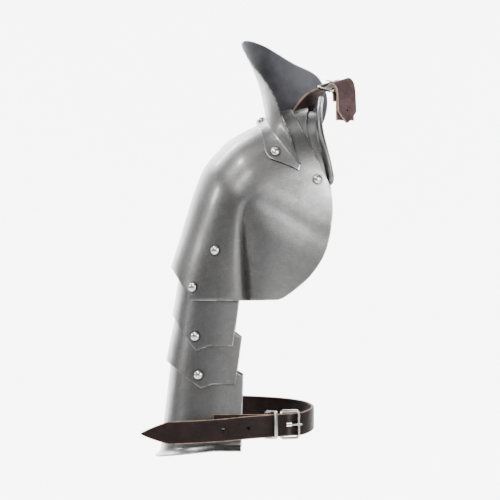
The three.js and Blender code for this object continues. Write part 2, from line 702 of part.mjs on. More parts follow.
// A keeper: a flat loop round the strap and the chape
function makeKeeper(buckle, along, low, high) {
  const inner = roundedRectangle(new THREE.Path(), high - low, STRAP_WIDE + 1.8, 0.8);
  const wide = STRAP_WIDE + 1.8 + 2 * KEEPER_THICK;
  const shape = roundedRectangle(new THREE.Shape(), high - low + 2 * KEEPER_THICK, wide, 1.6);
  shape.holes.push(inner);
  const options = { depth: KEEPER_WIDE, bevelEnabled: false, curveSegments: 3 };
  const loop = new THREE.ExtrudeGeometry(shape, options);
  loop.rotateY(Math.PI / 2);
  loop.translate(along, 0, (low + high) / 2);
  return loop.applyMatrix4(buckle.matrix);
}

const vector = (x, y, z) => new THREE.Vector3(x, y, z);
const up = vector(0, 0, 1);

// Arm strap: from its free tip across the front of the lowest lame, over the chape, through the
// buckle, round the inner side of the arm and onto the back of the lame
const ARM_BUCKLE = buckleFrame(vector(-20.6, 9.2 - ARM_DEPTH, -249.8), vector(0.782, 0.624, 0), up);
const ARM_ROUTE = [
  vector(-130.8, -ARM_DEPTH - 4.3, -256.6),
  vector(-100, -ARM_DEPTH - 7.2, -255.6),
  vector(-66, -ARM_DEPTH - 8.4, -253.6),
  vector(-46, -ARM_DEPTH - 8.5, -251.6),
  ARM_BUCKLE.place(-18, -0.9, 4.6),
  ARM_BUCKLE.place(-6, -0.3, 5.2),
  ARM_BUCKLE.place(0, -0.1, 5.2),
  ARM_BUCKLE.place(4.1, 0, 3.9),
  ARM_BUCKLE.place(8.8, 0, 0.7),
  ARM_BUCKLE.place(14.5, 0, -2.4),
  ARM_BUCKLE.place(18, 0, -3),
  ARM_BUCKLE.place(24, 0.6, -2.8),
  vector(3, -19, -246.6),
  vector(4.5, 4, -244.4),
  vector(-3, 30, -241.6),
  vector(-22, ARM_DEPTH - 5.2, -239.6),
  vector(-48, ARM_DEPTH + 4, -238.4),
  vector(-64, ARM_DEPTH + 4, -238),
  vector(-79, ARM_DEPTH + 3.6, -238),
];
const ARM_CHAPE_ROUTE = [
  vector(-74, -ARM_DEPTH - 3.3, -249.8),
  vector(-52, -ARM_DEPTH - 3.4, -249.8),
  vector(-38, -ARM_DEPTH - 3.7, -249.8),
  ARM_BUCKLE.place(-10, 0, 0.6),
];

// Shoulder strap: from its pointed tab up over the chape, through the buckle, over the rolled edge
// and onto the cop behind its crest
const NECK_BUCKLE = buckleFrame(vector(28, -2, 17), vector(-0.6, 0.77, 0.2), vector(-0.74, -0.61, -0.28));
const NECK_STRAP_ROWS = [0.01, 0.08];
const NECK_STRAP_ROOTS = [0.46, 0.6];
const NECK_STRAP_LIFT = 0.9;

// A place above the cop's rear face, half a strap's thickness and a small gap clear of it
function strapSeat(end) {
  const across = NECK_STRAP_ROOTS[end] ** 2;
  const normal = copOutward(NECK_STRAP_ROWS[end], across, 1);
  const place = copPoint(NECK_STRAP_ROWS[end], across, 1);
  return { place: place.addScaledVector(normal, NECK_STRAP_LIFT + STRAP_THICK / 2), normal };
}

const SEAT_EDGE = strapSeat(0);
const SEAT_END = strapSeat(1);
const SEAT_WIDE = SEAT_END.normal.clone().cross(SEAT_END.place.clone().sub(SEAT_EDGE.place)).normalize();
if (SEAT_WIDE.dot(NECK_BUCKLE.wide) < 0) {
  SEAT_WIDE.negate();
}
const NECK_ROUTE = [
  vector(32.2, -7.6, -11),
  vector(31.8, -6.6, 5),
  NECK_BUCKLE.place(-5, 0, 0.9),
  NECK_BUCKLE.place(-3.4, 0, 3.9),
  NECK_BUCKLE.place(0, 0, 5.3),
  NECK_BUCKLE.place(4.1, 0, 3.9),
  NECK_BUCKLE.place(8.8, 0, 0.7),
  NECK_BUCKLE.place(14.5, 0, -2.6),
  NECK_BUCKLE.place(18, 0, -3.1),
  NECK_BUCKLE.place(22.5, 0, -3.6),
  vector(7, 27, 13),
  SEAT_EDGE.place,
  SEAT_END.place,
];
const NECK_CHAPE_ROUTE = [
  vector(30.6, -5.4, -9),
  vector(30.4, -4.9, 3),
  NECK_BUCKLE.place(-4.4, 0, -4),
];

// Distance from an outer face, straight in along a rivet, to a plate that lies under it
function reachTo(place, outward, depthAt) {
  let near = 0;
  let far = 14;
  for (let turn = 0; turn < 30; turn += 1) {
    const middle = (near + far) / 2;
    const point = place.clone().addScaledVector(outward, -middle);
    const outside = Math.abs(point.y) > depthAt(point.x, point.z);
    near = outside ? middle : near;
    far = outside ? far : middle;
  }
  return near;
}

function lameDepthAt(lame, x, z) {
  const drop = lame.spineTop - z;
  const inward = Math.abs(x - ARM_MIDDLE_X) / (lame.outTop + lame.flare * drop);
  return (lame.depth + lame.taper * drop) * Math.pow(Math.max(1 - inward ** ARM_POWER, 0), 1 / ARM_POWER);
}

function lamePlaceAt(lame, x, z, side) {
  return vector(x, side * lameDepthAt(lame, x, z), z);
}

function lameOutward(lame, x, z, side) {
  const step = 0.05;
  const slopeX = (lameDepthAt(lame, x + step, z) - lameDepthAt(lame, x - step, z)) / (2 * step);
  const slopeZ = (lameDepthAt(lame, x, z + step) - lameDepthAt(lame, x, z - step)) / (2 * step);
  return vector(-slopeX, side, -slopeZ).normalize();
}

function neckDepthAt(lame, x, z) {
  const share = Math.min(Math.hypot(x - NECK_PIVOT_X, z - NECK_PIVOT_Z) / lame.radius, 1);
  return lame.depth * Math.pow(1 - share ** NECK_POWER, 1 / NECK_POWER);
}

// Rivets, each with its seat on the outermost plate, its direction, the plates that it passes
// through and the depth of their stack
const [UPPER_LAME, MIDDLE_LAME, LOWER_LAME] = LAMES;
const [OUTER_NECK_LAME, INNER_NECK_LAME] = NECK_LAMES;
const RIVETS = [];
const NECK_STACK = ["cop", OUTER_NECK_LAME.name, INNER_NECK_LAME.name];

function addRivet(name, place, outward, stack, plates) {
  const seat = place.clone().addScaledVector(outward, RIVET_LIFT);
  RIVETS.push({ name, place: seat, outward, stack: stack + RIVET_LIFT, plates });
}

const COP_RIVET = { row: 0.84, across: 0.575 };
const UPPER_PIVOT = { row: 0.963, across: 0.338 };
const NECK_PIVOT = { row: 0.069, across: 1.164 };
const FLANGE_RIVET = { row: 0.203, across: 0.5 };
const CREST_RIVET = { row: 0.186, across: 0.012 };
const MIDDLE_PIVOT = { x: ARM_MIDDLE_X - 27.8, z: -180 };
const LOWER_PIVOT = { x: ARM_MIDDLE_X - 25.4, z: -210.4 };

for (const [end, side] of [["front", -1], ["rear", 1]]) {
  const onCop = (spot) => [copPoint(spot.row, spot.across, side), copOutward(spot.row, spot.across, side)];
  let [place, outward] = onCop(COP_RIVET);
  addRivet(`rivet_cop_${end}`, place, outward, SHEET + PLATE_GAP, ["cop"]);
  [place, outward] = onCop(UPPER_PIVOT);
  let reach = reachTo(place, outward, (x, z) => lameDepthAt(UPPER_LAME, x, z));
  addRivet(`rivet_upper_${end}`, place, outward, reach + SHEET + FACET_ALLOWANCE, ["cop", UPPER_LAME.name]);
  [place, outward] = onCop(NECK_PIVOT);
  reach = reachTo(place, outward, (x, z) => neckDepthAt(INNER_NECK_LAME, x, z));
  addRivet(`rivet_neck_${end}`, place, outward, reach + SHEET + FACET_ALLOWANCE, NECK_STACK);
  [place, outward] = onCop(FLANGE_RIVET);
  place.addScaledVector(outward, SHEET + GUARD_GAP);
  addRivet(`rivet_guard_${end}`, place, outward, 2 * SHEET + GUARD_GAP, ["haute_piece", "cop"]);
  for (const [outer, inner, spot, label] of [
    [UPPER_LAME, MIDDLE_LAME, MIDDLE_PIVOT, "middle"],
    [MIDDLE_LAME, LOWER_LAME, LOWER_PIVOT, "lower"],
  ]) {
    place = lamePlaceAt(outer, spot.x, spot.z, side);
    outward = lameOutward(outer, spot.x, spot.z, side);
    reach = reachTo(place, outward, (x, z) => lameDepthAt(inner, x, z));
    const plates = [outer.name, inner.name];
    addRivet(`rivet_${label}_${end}`, place, outward, reach + SHEET + FACET_ALLOWANCE, plates);
  }
}
const crestOutward = copOutward(CREST_RIVET.row, CREST_RIVET.across, -1);
const crestPlace = copPoint(CREST_RIVET.row, CREST_RIVET.across, -1);
crestPlace.addScaledVector(crestOutward, SHEET + GUARD_GAP);
addRivet("rivet_guard_crest", crestPlace, crestOutward, 2 * SHEET + GUARD_GAP, ["haute_piece", "cop"]);

const CHAPE_RIVET_X = -66;
const STRAP_RIVET_X = -71;
const chapeFace = vector(CHAPE_RIVET_X, ARM_CHAPE_ROUTE[0].y - CHAPE_THICK / 2, ARM_CHAPE_ROUTE[0].z);
const toLowerLame = (face, outward) => reachTo(face, outward, (x, z) => lameDepthAt(LOWER_LAME, x, z));
const chapeStack = toLowerLame(chapeFace, vector(0, -1, 0)) + SHEET + FACET_ALLOWANCE;
addRivet("rivet_arm_chape", chapeFace, vector(0, -1, 0), chapeStack, ["arm_chape", LOWER_LAME.name]);
const strapFace = vector(STRAP_RIVET_X, ARM_DEPTH + 3.8 + STRAP_THICK / 2, -238);
const strapStack = toLowerLame(strapFace, vector(0, 1, 0)) + SHEET + FACET_ALLOWANCE;
addRivet("rivet_arm_strap", strapFace, vector(0, 1, 0), strapStack, ["arm_strap", LOWER_LAME.name]);
const neckStrapFace = SEAT_END.place.clone().lerp(SEAT_EDGE.place, 0.45);
neckStrapFace.addScaledVector(SEAT_END.normal, STRAP_THICK / 2);
const neckStrapStack = STRAP_THICK + NECK_STRAP_LIFT + SHEET + PLATE_GAP;
const neckStrapPlates = ["shoulder_strap", "cop"];
addRivet("rivet_shoulder_strap", neckStrapFace, SEAT_END.normal, neckStrapStack, neckStrapPlates);

function holesIn(plate) {
  return RIVETS.filter((rivet) => rivet.plates.includes(plate)).map((rivet) => ({
    middle: rivet.place.clone().addScaledVector(rivet.outward, -rivet.stack / 2),
    direction: rivet.outward,
    radius: RIVET_SHANK + RIVET_CLEARANCE,
    reach: rivet.stack / 2 + 4,
  }));
}

// Punched holes along a strap, square to its face
function punched(stations, picks) {
  return picks.map((index) => {
    const run = stations[index + 1].place.clone().sub(stations[index - 1].place).normalize();
    const direction = run.cross(stations[index].wide).normalize();
    return { middle: stations[index].place, direction, radius: STRAP_HOLE, reach: 2 * STRAP_THICK };
  });
}

const model = new THREE.Group();
const steel = new THREE.MeshStandardMaterial({ color: 0x8a8b8e, roughness: 0.42, metalness: 0.9 });
const nickel = new THREE.MeshStandardMaterial({ color: 0xd8d6d0, roughness: 0.25, metalness: 1 });
const leather = new THREE.MeshStandardMaterial({ color: 0x3c231e, roughness: 0.6, metalness: 0 });

function add(name, geometry, material) {
  const mesh = new THREE.Mesh(geometry, material);
  mesh.name = name;
  model.add(mesh);
  return mesh;
}

add("cop", makeCop(holesIn("cop")), steel);
add("haute_piece", makeGuard(holesIn("haute_piece")), steel);
for (const lame of NECK_LAMES) {
  add(lame.name, makeNeckLame(lame, holesIn(lame.name)), steel);
}
for (const lame of LAMES) {
  add(lame.name, makeLame(lame, holesIn(lame.name)), steel);
}
for (const rivet of RIVETS) {
  const mesh = add(rivet.name, makeRivet(rivet.stack), nickel);
  mesh.quaternion.setFromUnitVectors(vector(0, 1, 0), rivet.outward);
  mesh.position.copy(rivet.place);
}

const ARM_TAIL = ARM_BUCKLE.place(-9, 0, -3.4);
const NECK_TAIL = vector(28.2, -1.6, 6);
const armStations = stationsAlong(ARM_ROUTE, () => up, 22);
const armHoles = [...punched(armStations, [4, 6, 8]), ...holesIn("arm_strap")];
add("arm_strap", makeStrap(armStations, ARM_BUCKLE, armHoles), leather);
const armTurns = [105, 65, 25, -15, -55, -95];
const armChape = makeChape(ARM_BUCKLE, ARM_CHAPE_ROUTE, up, armTurns, ARM_TAIL, holesIn("arm_chape"));
add("arm_chape", armChape, leather);
add("arm_buckle", makeBuckle(ARM_BUCKLE), nickel);
add("arm_prong", makeProng(ARM_BUCKLE), nickel);
add("arm_keeper", makeKeeper(ARM_BUCKLE, -12.5, -4.6, 7.2), nickel);

const neckWide = (share) => NECK_BUCKLE.wide.clone().lerp(SEAT_WIDE, Math.max((share - 0.78) / 0.22, 0));
const neckStations = stationsAlong(NECK_ROUTE, neckWide, 9);
neckStations[neckStations.length - 1].share = 0.7;
const neckHoles = [...punched(neckStations, [3]), ...holesIn("shoulder_strap")];
add("shoulder_strap", makeStrap(neckStations, NECK_BUCKLE, neckHoles), leather);
const neckTurns = [175, 135, 95, 55, 15, -25, -65];
const chapeEnd = NECK_CHAPE_ROUTE[0];
const chapeHole = {
  middle: chapeEnd.clone().lerp(NECK_CHAPE_ROUTE[1], 0.5),
  direction: NECK_CHAPE_ROUTE[1].clone().sub(chapeEnd).cross(NECK_BUCKLE.wide).normalize(),
  radius: RIVET_SHANK + RIVET_CLEARANCE,
  reach: 2 * CHAPE_THICK,
};
const neckSquare = NECK_BUCKLE.wide;
const neckChape = makeChape(NECK_BUCKLE, NECK_CHAPE_ROUTE, neckSquare, neckTurns, NECK_TAIL, [chapeHole]);
add("shoulder_chape", neckChape, leather);
add("shoulder_buckle", makeBuckle(NECK_BUCKLE), nickel);
add("shoulder_prong", makeProng(NECK_BUCKLE), nickel);

export default model;
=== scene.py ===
import math
from collections import namedtuple
from functools import lru_cache

import bpy
from mathutils import Matrix, Vector
from mathutils.kdtree import KDTree


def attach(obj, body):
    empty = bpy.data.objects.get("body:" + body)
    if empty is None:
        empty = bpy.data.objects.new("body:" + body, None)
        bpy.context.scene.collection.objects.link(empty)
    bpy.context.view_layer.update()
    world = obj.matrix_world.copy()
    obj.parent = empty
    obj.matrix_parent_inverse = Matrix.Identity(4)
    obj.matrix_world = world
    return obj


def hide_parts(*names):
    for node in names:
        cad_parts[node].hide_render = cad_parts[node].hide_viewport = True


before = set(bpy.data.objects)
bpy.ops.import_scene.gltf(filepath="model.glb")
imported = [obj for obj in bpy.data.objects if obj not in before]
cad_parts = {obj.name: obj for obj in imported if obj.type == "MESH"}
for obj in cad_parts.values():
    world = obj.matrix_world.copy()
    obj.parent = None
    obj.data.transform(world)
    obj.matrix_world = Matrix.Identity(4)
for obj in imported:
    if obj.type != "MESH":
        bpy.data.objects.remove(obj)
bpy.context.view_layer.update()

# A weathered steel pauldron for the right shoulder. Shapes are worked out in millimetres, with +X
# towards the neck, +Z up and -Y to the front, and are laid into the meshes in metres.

MM = 0.001
SHEET = 1.2
PLATE_EASE = 0.28
UP = Vector((0, 0, 1))


# Sizes of the plates, the same as the solids have

COP_CREST_X = -12.6
COP_CREST_Z = 0.6
COP_REACH = 95.2
COP_DROP = 126
COP_DEPTH = 69
COP_POWER = 2.4
CREASE_DEPTH = 7
CREASE_ARM_WIDTH = 3.2
CREASE_WING_WIDTH = 14
WING_BULGE = 4
COP_CORNER_ACROSS = 0.339
COP_APEX_ROW = 10 / 11
FLANK_SHARE = 0.6
FLANK_SPREAD = 2.4

# Rows of the cop from the neck edge down: out and down of the spine, of the crease and of the wing's
# edge, then the rounded flank's width, the depth and the crease's depth
COP_ROWS = [
    (0, 0, -0.278, 0.417, -0.328, 0.49, 0.725, 0.905, 0),
    (0.13, 0.033, -0.17, 0.441, -0.34, 0.555, 0.68, 0.928, 0),
    (0.235, 0.088, -0.05, 0.465, -0.346, 0.628, 0.64, 0.95, 0),
    (0.39, 0.146, 0.1, 0.497, -0.343, 0.69, 0.61, 0.971, 0),
    (0.52, 0.205, 0.214, 0.529, -0.333, 0.755, 0.6, 0.99, 0),
    (0.622, 0.281, 0.309, 0.56, -0.315, 0.83, 0.58, 1, 0.06),
    (0.725, 0.379, 0.375, 0.602, -0.285, 0.905, 0.57, 1.01, 0.22),
    (0.802, 0.515, 0.4, 0.671, -0.235, 0.98, 0.57, 1.01, 0.48),
    (0.866, 0.67, 0.4, 0.776, -0.146, 1.068, 0.58, 1, 0.7),
    (0.93, 0.827, 0.392, 0.886, -0.037, 1.14, 0.6, 0.985, 0.86),
    (1, 1, 0.38, 1.03, 0.055, 1.19, 0.62, 0.97, 0.95),
    (1.06, 1.21, 0.363, 1.21, 0.107, 1.206, 0.645, 0.955, 1),
]
COP_COLUMNS = list(zip(*COP_ROWS))
SPINE, CREASE, EDGE, ROUND, DEPTH, CUT = 0, 2, 4, 6, 7, 8

ARM_MIDDLE_X = -60
ARM_POWER = 2.8
LIP_ROWS_SHARE = 0.1
LIP_OUT = 0.9
LIP_CURL = 1.5
ARM_LAMES = {
    "arm_lame_upper": dict(
        spine_top=-110, spine_foot=-163.6, corner_x=-87.6, corner_foot=-191.4, inner_foot=-187.6,
        corner_top=-130, inner_top=-151.4, inner_top_x=-53.4, inner_foot_x=-58.3,
        out_top=37.5, flare=0.172, depth=61.2, taper=0.005, lip=0),
    "arm_lame_middle": dict(
        spine_top=-150, spine_foot=-199.4, corner_x=-83.6, corner_foot=-220.8, inner_foot=-217.6,
        corner_top=-168, inner_top=-181.7, inner_top_x=-51.4, inner_foot_x=-56.3,
        out_top=41.4, flare=0.208, depth=58.6, taper=0.03, lip=0),
    "arm_lame_lower": dict(
        spine_top=-187, spine_foot=-270, corner_x=-84, corner_foot=-266, inner_foot=-264.8,
        corner_top=-200, inner_top=-211.4, inner_top_x=-50.4, inner_foot_x=-51.8,
        out_top=46.4, flare=0.118, depth=57.2, taper=0.03, lip=5),
}

GUARD_SPAN = 40
GUARD_DEPTH = 66
GUARD_RISE = 54
GUARD_BOW = 3
GUARD_GAP = 0.75
FLANGE_SHARE = 0.15

# Stations of the guard from its front foot to its rear foot: row and root share of its base on the
# cop, the same of its flange's edge, then out, depth and rise of its rim
GUARD_STATIONS = [
    (0.121, -0.897, 0.142, -0.925, -0.16, -0.985, -0.81),
    (0.139, -0.77, 0.197, -0.832, 0, -0.925, -0.457),
    (0.153, -0.601, 0.242, -0.716, 0.195, -0.77, -0.12),
    (0.16, -0.366, 0.219, -0.49, 0.36, -0.58, 0.2),
    (0.158, -0.173, 0.212, -0.22, 0.6, -0.35, 0.48),
    (0.155, 0, 0.213, 0, 0.86, -0.1, 0.74),
    (0.158, 0.173, 0.212, 0.22, 0.975, 0.15, 1),
    (0.16, 0.366, 0.219, 0.49, 0.585, 0.5, 0.965),
    (0.153, 0.601, 0.242, 0.716, -0.015, 0.74, 0.72),
    (0.139, 0.77, 0.197, 0.832, -0.565, 0.9, 0.49),
    (0.13, 0.84, 0.165, 0.889, -0.72, 1, 0.02),
    (0.121, 0.897, 0.142, 0.925, -0.24, 1.03, -0.74),
]
GUARD_COLUMNS = list(zip(*GUARD_STATIONS))
BASE, FLANGE, RIM = 0, 2, 4

NECK_PIVOT = Vector((8.3, 0, -56.4))
NECK_POWER = 2.15
NECK_EAR = 6.3
NECK_EAR_DROPS = (0, -0.6, -1)
NECK_EAR_WIDTHS = (1, 0.95, 0.7)
ARCH_COLUMNS = 8
EAR_COLUMNS = 2
ROLL_RADIUS = 2.3
ROLL_RISE = 9
ROLL_FOOT_RISE = 3
ROLL_TUCK = -1.9
ROLL_STEP = 0.6
ROLL_TURN = 225
ROLL_START_SHARE = 0.5
ROLL_WALL_SHARE = 0.1
NECK_LAMES = {
    "neck_lame_outer": dict(
        lean=110, radius=58, depth=60.2, rolled=False, cover=12.5,
        edge=(-6.3, -4.2, -4.2, -4.6, -7.6, -13.3)),
    "neck_lame_inner": dict(
        lean=100, radius=55.2, depth=58.3, rolled=True, cover=12,
        edge=(-7.8, -7.4, -6.4, -5.6, -6.6, -9.6)),
}

# Rivets: the body that each rides on, the middle of its seat, its outward direction and the depth of
# plates that it passes through
RIVETS = {
    "rivet_cop_front": ("shoulder", (-72.322, -63.184, -112.255), (-0.4016, -0.913, 0.0719), 1.8),
    "rivet_cop_rear": ("shoulder", (-72.322, 63.184, -112.255), (-0.4016, 0.913, 0.0719), 1.8),
    "rivet_upper_front": ("shoulder", (-89.958, -55.641, -141.363), (-0.6038, -0.7929, 0.0824), 4.56),
    "rivet_upper_rear": ("shoulder", (-89.958, 55.641, -141.363), (-0.6038, 0.7929, 0.0824), 4.56),
    "rivet_neck_front": ("shoulder", (8.368, -63.875, -56.34), (0.1237, -0.9809, 0.1501), 7.69),
    "rivet_neck_rear": ("shoulder", (8.368, 63.875, -56.34), (0.1237, 0.9809, 0.1501), 7.69),
    "rivet_guard_front": ("shoulder", (-24.83, -60.69, -34.426), (-0.1101, -0.863, 0.4931), 3.4),
    "rivet_guard_rear": ("shoulder", (-24.83, 60.69, -34.426), (-0.1101, 0.863, 0.4931), 3.4),
    "rivet_guard_crest": ("shoulder", (-36.283, -14.501, -9.469), (-0.4797, -0.1083, 0.8707), 3.4),
    "rivet_middle_front": ("arm_upper", (-87.913, -57.1, -179.988), (-0.4512, -0.8912, 0.0477), 4.42),
    "rivet_middle_rear": ("arm_upper", (-87.913, 57.1, -179.988), (-0.4512, 0.8912, 0.0477), 4.42),
    "rivet_lower_front": ("arm_middle", (-85.475, -57.925, -210.386), (-0.2985, -0.9527, 0.0565), 5.26),
    "rivet_lower_rear": ("arm_middle", (-85.475, 57.925, -210.386), (-0.2985, 0.9527, 0.0565), 5.26),
    "rivet_arm_chape": ("arm_lower", (-66, -61.55, -249.8), (0, -1, 0), 4.51),
    "rivet_arm_strap": ("arm_lower", (-71, 62.35, -238), (0, 1, 0), 5.89),
    "rivet_shoulder_strap": ("shoulder", (-11.442, 49.948, -14.556), (-0.0961, 0.7811, 0.617), 4.9),
}
RIVET_HEAD = 3.65
RIVET_HEIGHT = 2.3
RIVET_SHANK = 1.6
RIVET_TAIL = 2.7
RIVET_TAIL_THICK = 0.9
RIVET_LIFT = 0.4

STRAP_WIDE = 18
STRAP_THICK = 2.2
CHAPE_THICK = 1.6
CHAPE_SHARE = 0.95
RAW_EDGE = 0.55
ROUTE_STEPS = 1200
STRAP_HOLE = 1.35
WIRE = 1.15
FRAME_LONG = 18
FRAME_WIDE = 23.6
BAR_CLEAR = WIRE * 1.42 + 0.5
PRONG_WIDE = 1.9
KEEPER_WIDE = 3
KEEPER_THICK = 1.1
KEEPER_EASE = 0.35
KEEPER_ROOM = 1.8
FRAME_CORNER = 2.6
KEEPER_CORNER = 0.9
PRONG_HALF_THICK = 0.7
PRONG_LIFT = BAR_CLEAR + 0.75
PRONG_ROOM = 0.7


# Where the plates lie

def between(values, share):
    """A value at a share of a list of stations, on a smooth curve through them."""
    place = min(max(share, 0), 1) * (len(values) - 1)
    step = min(int(place), len(values) - 2)
    t = place - step
    start = values[step]
    end = values[step + 1]
    start_slope = (end - values[step - 1]) / 2 if step > 0 else end - start
    end_slope = (values[step + 2] - start) / 2 if step + 2 < len(values) else end - start
    a = 2 * start - 2 * end + start_slope + end_slope
    b = -3 * start + 3 * end - 2 * start_slope - end_slope
    return ((a * t + b) * t + start_slope) * t + start


@lru_cache(maxsize=None)
def cop_row(row):
    """All values of the cop's table at a row, the places already in millimetres."""
    values = [between(column, row) for column in COP_COLUMNS]
    places = [
        Vector((COP_CREST_X - COP_REACH * values[k], COP_CREST_Z - COP_DROP * values[k + 1]))
        for k in (SPINE, CREASE, EDGE)
    ]
    return places, values[ROUND] * COP_REACH, values[DEPTH] * COP_DEPTH, values[CUT]


def cop_point(row, across, side):
    """The cop's outer face: across is 0 on the spine, 1 on the crease and 2 on the wing's edge."""
    (spine, crease, edge), round_width, depth, cut = cop_row(min(max(row, 0), 1))
    crease_gap = (crease - spine).length
    edge_gap = (edge - crease).length
    if across < 1:
        place = spine.lerp(crease, across)
        distance = crease_gap * across
    else:
        place = crease.lerp(edge, across - 1)
        distance = crease_gap + edge_gap * (across - 1)
    inward = 1 - min(distance / round_width, 1)
    flank = depth * (1 - inward ** COP_POWER) ** (1 / COP_POWER)
    offset = distance - crease_gap
    width = CREASE_ARM_WIDTH if offset < 0 else CREASE_WING_WIDTH
    valley = CREASE_DEPTH * cut * math.exp(-abs(offset) / width)
    wing = min(max(offset / edge_gap, 0), 1)
    bulge = WING_BULGE * cut * math.sin(math.pi * wing ** 0.8)
    return Vector((place.x, side * (flank - valley + bulge), place.y))


def cop_outward(row, across, side):
    """The direction straight out of the cop's face."""
    step = min(0.004, across * 0.4)
    run = cop_point(row, across + step, side) - cop_point(row, max(across - step, 0), side)
    down = cop_point(row + 0.01, across, side) - cop_point(max(row - 0.01, 0), across, side)
    normal = run.cross(down).normalized()
    return -normal if normal.dot(Vector((0, side, 0.4))) < 0 else normal


@lru_cache(maxsize=None)
def cop_last_row(across):
    """The row where a column ends: the last one, or where it meets the straight cut to the spine."""
    if across >= COP_CORNER_ACROSS:
        return 1
    apex = cop_point(COP_APEX_ROW, 0, -1)
    corner = cop_point(1, COP_CORNER_ACROSS, -1)
    slope = (corner.z - apex.z) / (corner.x - apex.x)
    high = COP_APEX_ROW
    low = 1
    for _ in range(22):
        middle = (high + low) / 2
        point = cop_point(middle, across, -1)
        if point.z > apex.z + slope * (point.x - apex.x):
            high = middle
        else:
            low = middle
    return (high + low) / 2


def cop_place(u, v):
    """A place of the cop's sheet: u from the rear wing's edge to the front one's, v from neck to arm."""
    away = abs(2 * u - 1)
    if away < FLANK_SHARE:
        across = (away / FLANK_SHARE) ** FLANK_SPREAD
    else:
        across = 1 + (away - FLANK_SHARE) / (1 - FLANK_SHARE)
    across = round(across, 6)
    return cop_point(cop_last_row(across) * v, across, 1 if u < 0.5 else -1)


def lame_corner(lame):
    """The angle round the tube at which a lame's corner lies, and how far out that is as a share."""
    reach = lame["out_top"] + lame["flare"] * (lame["spine_top"] - lame["corner_foot"])
    share = (ARM_MIDDLE_X - lame["corner_x"]) / reach
    return math.acos(share ** (ARM_POWER / 2)), share


def lame_point(lame, height, across, side):
    """A lame's outer face: across is 0 on the spine, 1 on the corner and 2 on the inner edge."""
    drop = lame["spine_top"] - height
    out = lame["out_top"] + lame["flare"] * drop
    depth = lame["depth"] + lame["taper"] * drop
    angle = min(across, 1) * lame_corner(lame)[0]
    x = ARM_MIDDLE_X - out * math.cos(angle) ** (2 / ARM_POWER)
    if across > 1:
        t = (lame["inner_top"] - height) / (lame["inner_top"] - lame["inner_foot"])
        inner_x = lame["inner_top_x"] + (lame["inner_foot_x"] - lame["inner_top_x"]) * t
        x += (inner_x - x) * (across - 1)
    inward = min(abs(x - ARM_MIDDLE_X) / out, 1)
    y = depth * max(1 - inward ** ARM_POWER, 0) ** (1 / ARM_POWER)
    return Vector((x, side * y, height))


def lame_ends(lame, across):
    """Top and foot of a lame at a share round it."""
    corner_angle, corner_share = lame_corner(lame)
    if across <= 1:
        share = (1 - math.cos(across * corner_angle) ** (2 / ARM_POWER)) / (1 - corner_share)
        foot = lame["spine_foot"] + (lame["corner_foot"] - lame["spine_foot"]) * share
        top = lame["spine_top"] + (lame["corner_top"] - lame["spine_top"]) * share
        return top, foot
    t = across - 1
    foot = lame["corner_foot"] + (lame["inner_foot"] - lame["corner_foot"]) * min(t * 3, 1)
    top = lame["corner_top"] + (lame["inner_top"] - lame["corner_top"]) * t ** 1.6
    return top, foot


def lame_place(lame):
    """Places of one arm lame's sheet, with its flared lip on the last rows if it has one."""
    body_share = 1 - LIP_ROWS_SHARE if lame["lip"] else 1

    def place(u, v):
        across = 2 * abs(2 * u - 1)
        side = 1 if u < 0.5 else -1
        top, foot = lame_ends(lame, across)
        if v <= body_share:
            return lame_point(lame, top + (foot - top) * v / body_share, across, side)
        share = (v - body_share) / (1 - body_share)
        point = lame_point(lame, foot, across, side)
        level = Vector(((point.x - ARM_MIDDLE_X) * (1 - min(across, 1)), point.y, 0)).normalized()
        return point + level * (lame["lip"] * share ** LIP_CURL * LIP_OUT) - UP * (lame["lip"] * share)

    return place


def guard_seat(share, part):
    """A place of the guard's flange, one sheet and a running gap above the cop."""
    row = between(GUARD_COLUMNS[part], share)
    root = between(GUARD_COLUMNS[part + 1], share)
    side = -1 if root < 0 else 1
    across = max(root * root, 1e-5)
    return cop_point(row, across, side) + cop_outward(row, across, side) * (SHEET + GUARD_GAP)


def guard_place(u, v):
    """The guard's sheet: u from its front foot to its rear foot, v up the flange and then the wall."""
    base = guard_seat(u, BASE)
    if v < FLANGE_SHARE:
        return guard_seat(u, FLANGE).lerp(base, v / FLANGE_SHARE)
    rise = (v - FLANGE_SHARE) / (1 - FLANGE_SHARE)
    rim = Vector((
        COP_CREST_X - GUARD_SPAN * between(GUARD_COLUMNS[RIM], u),
        GUARD_DEPTH * between(GUARD_COLUMNS[RIM + 1], u),
        GUARD_RISE * between(GUARD_COLUMNS[RIM + 2], u),
    ))
    bow = GUARD_BOW * (rim - base).length / GUARD_RISE * math.sin(math.pi * rise)
    return base.lerp(rim, rise) + Vector((bow, 0, 0))


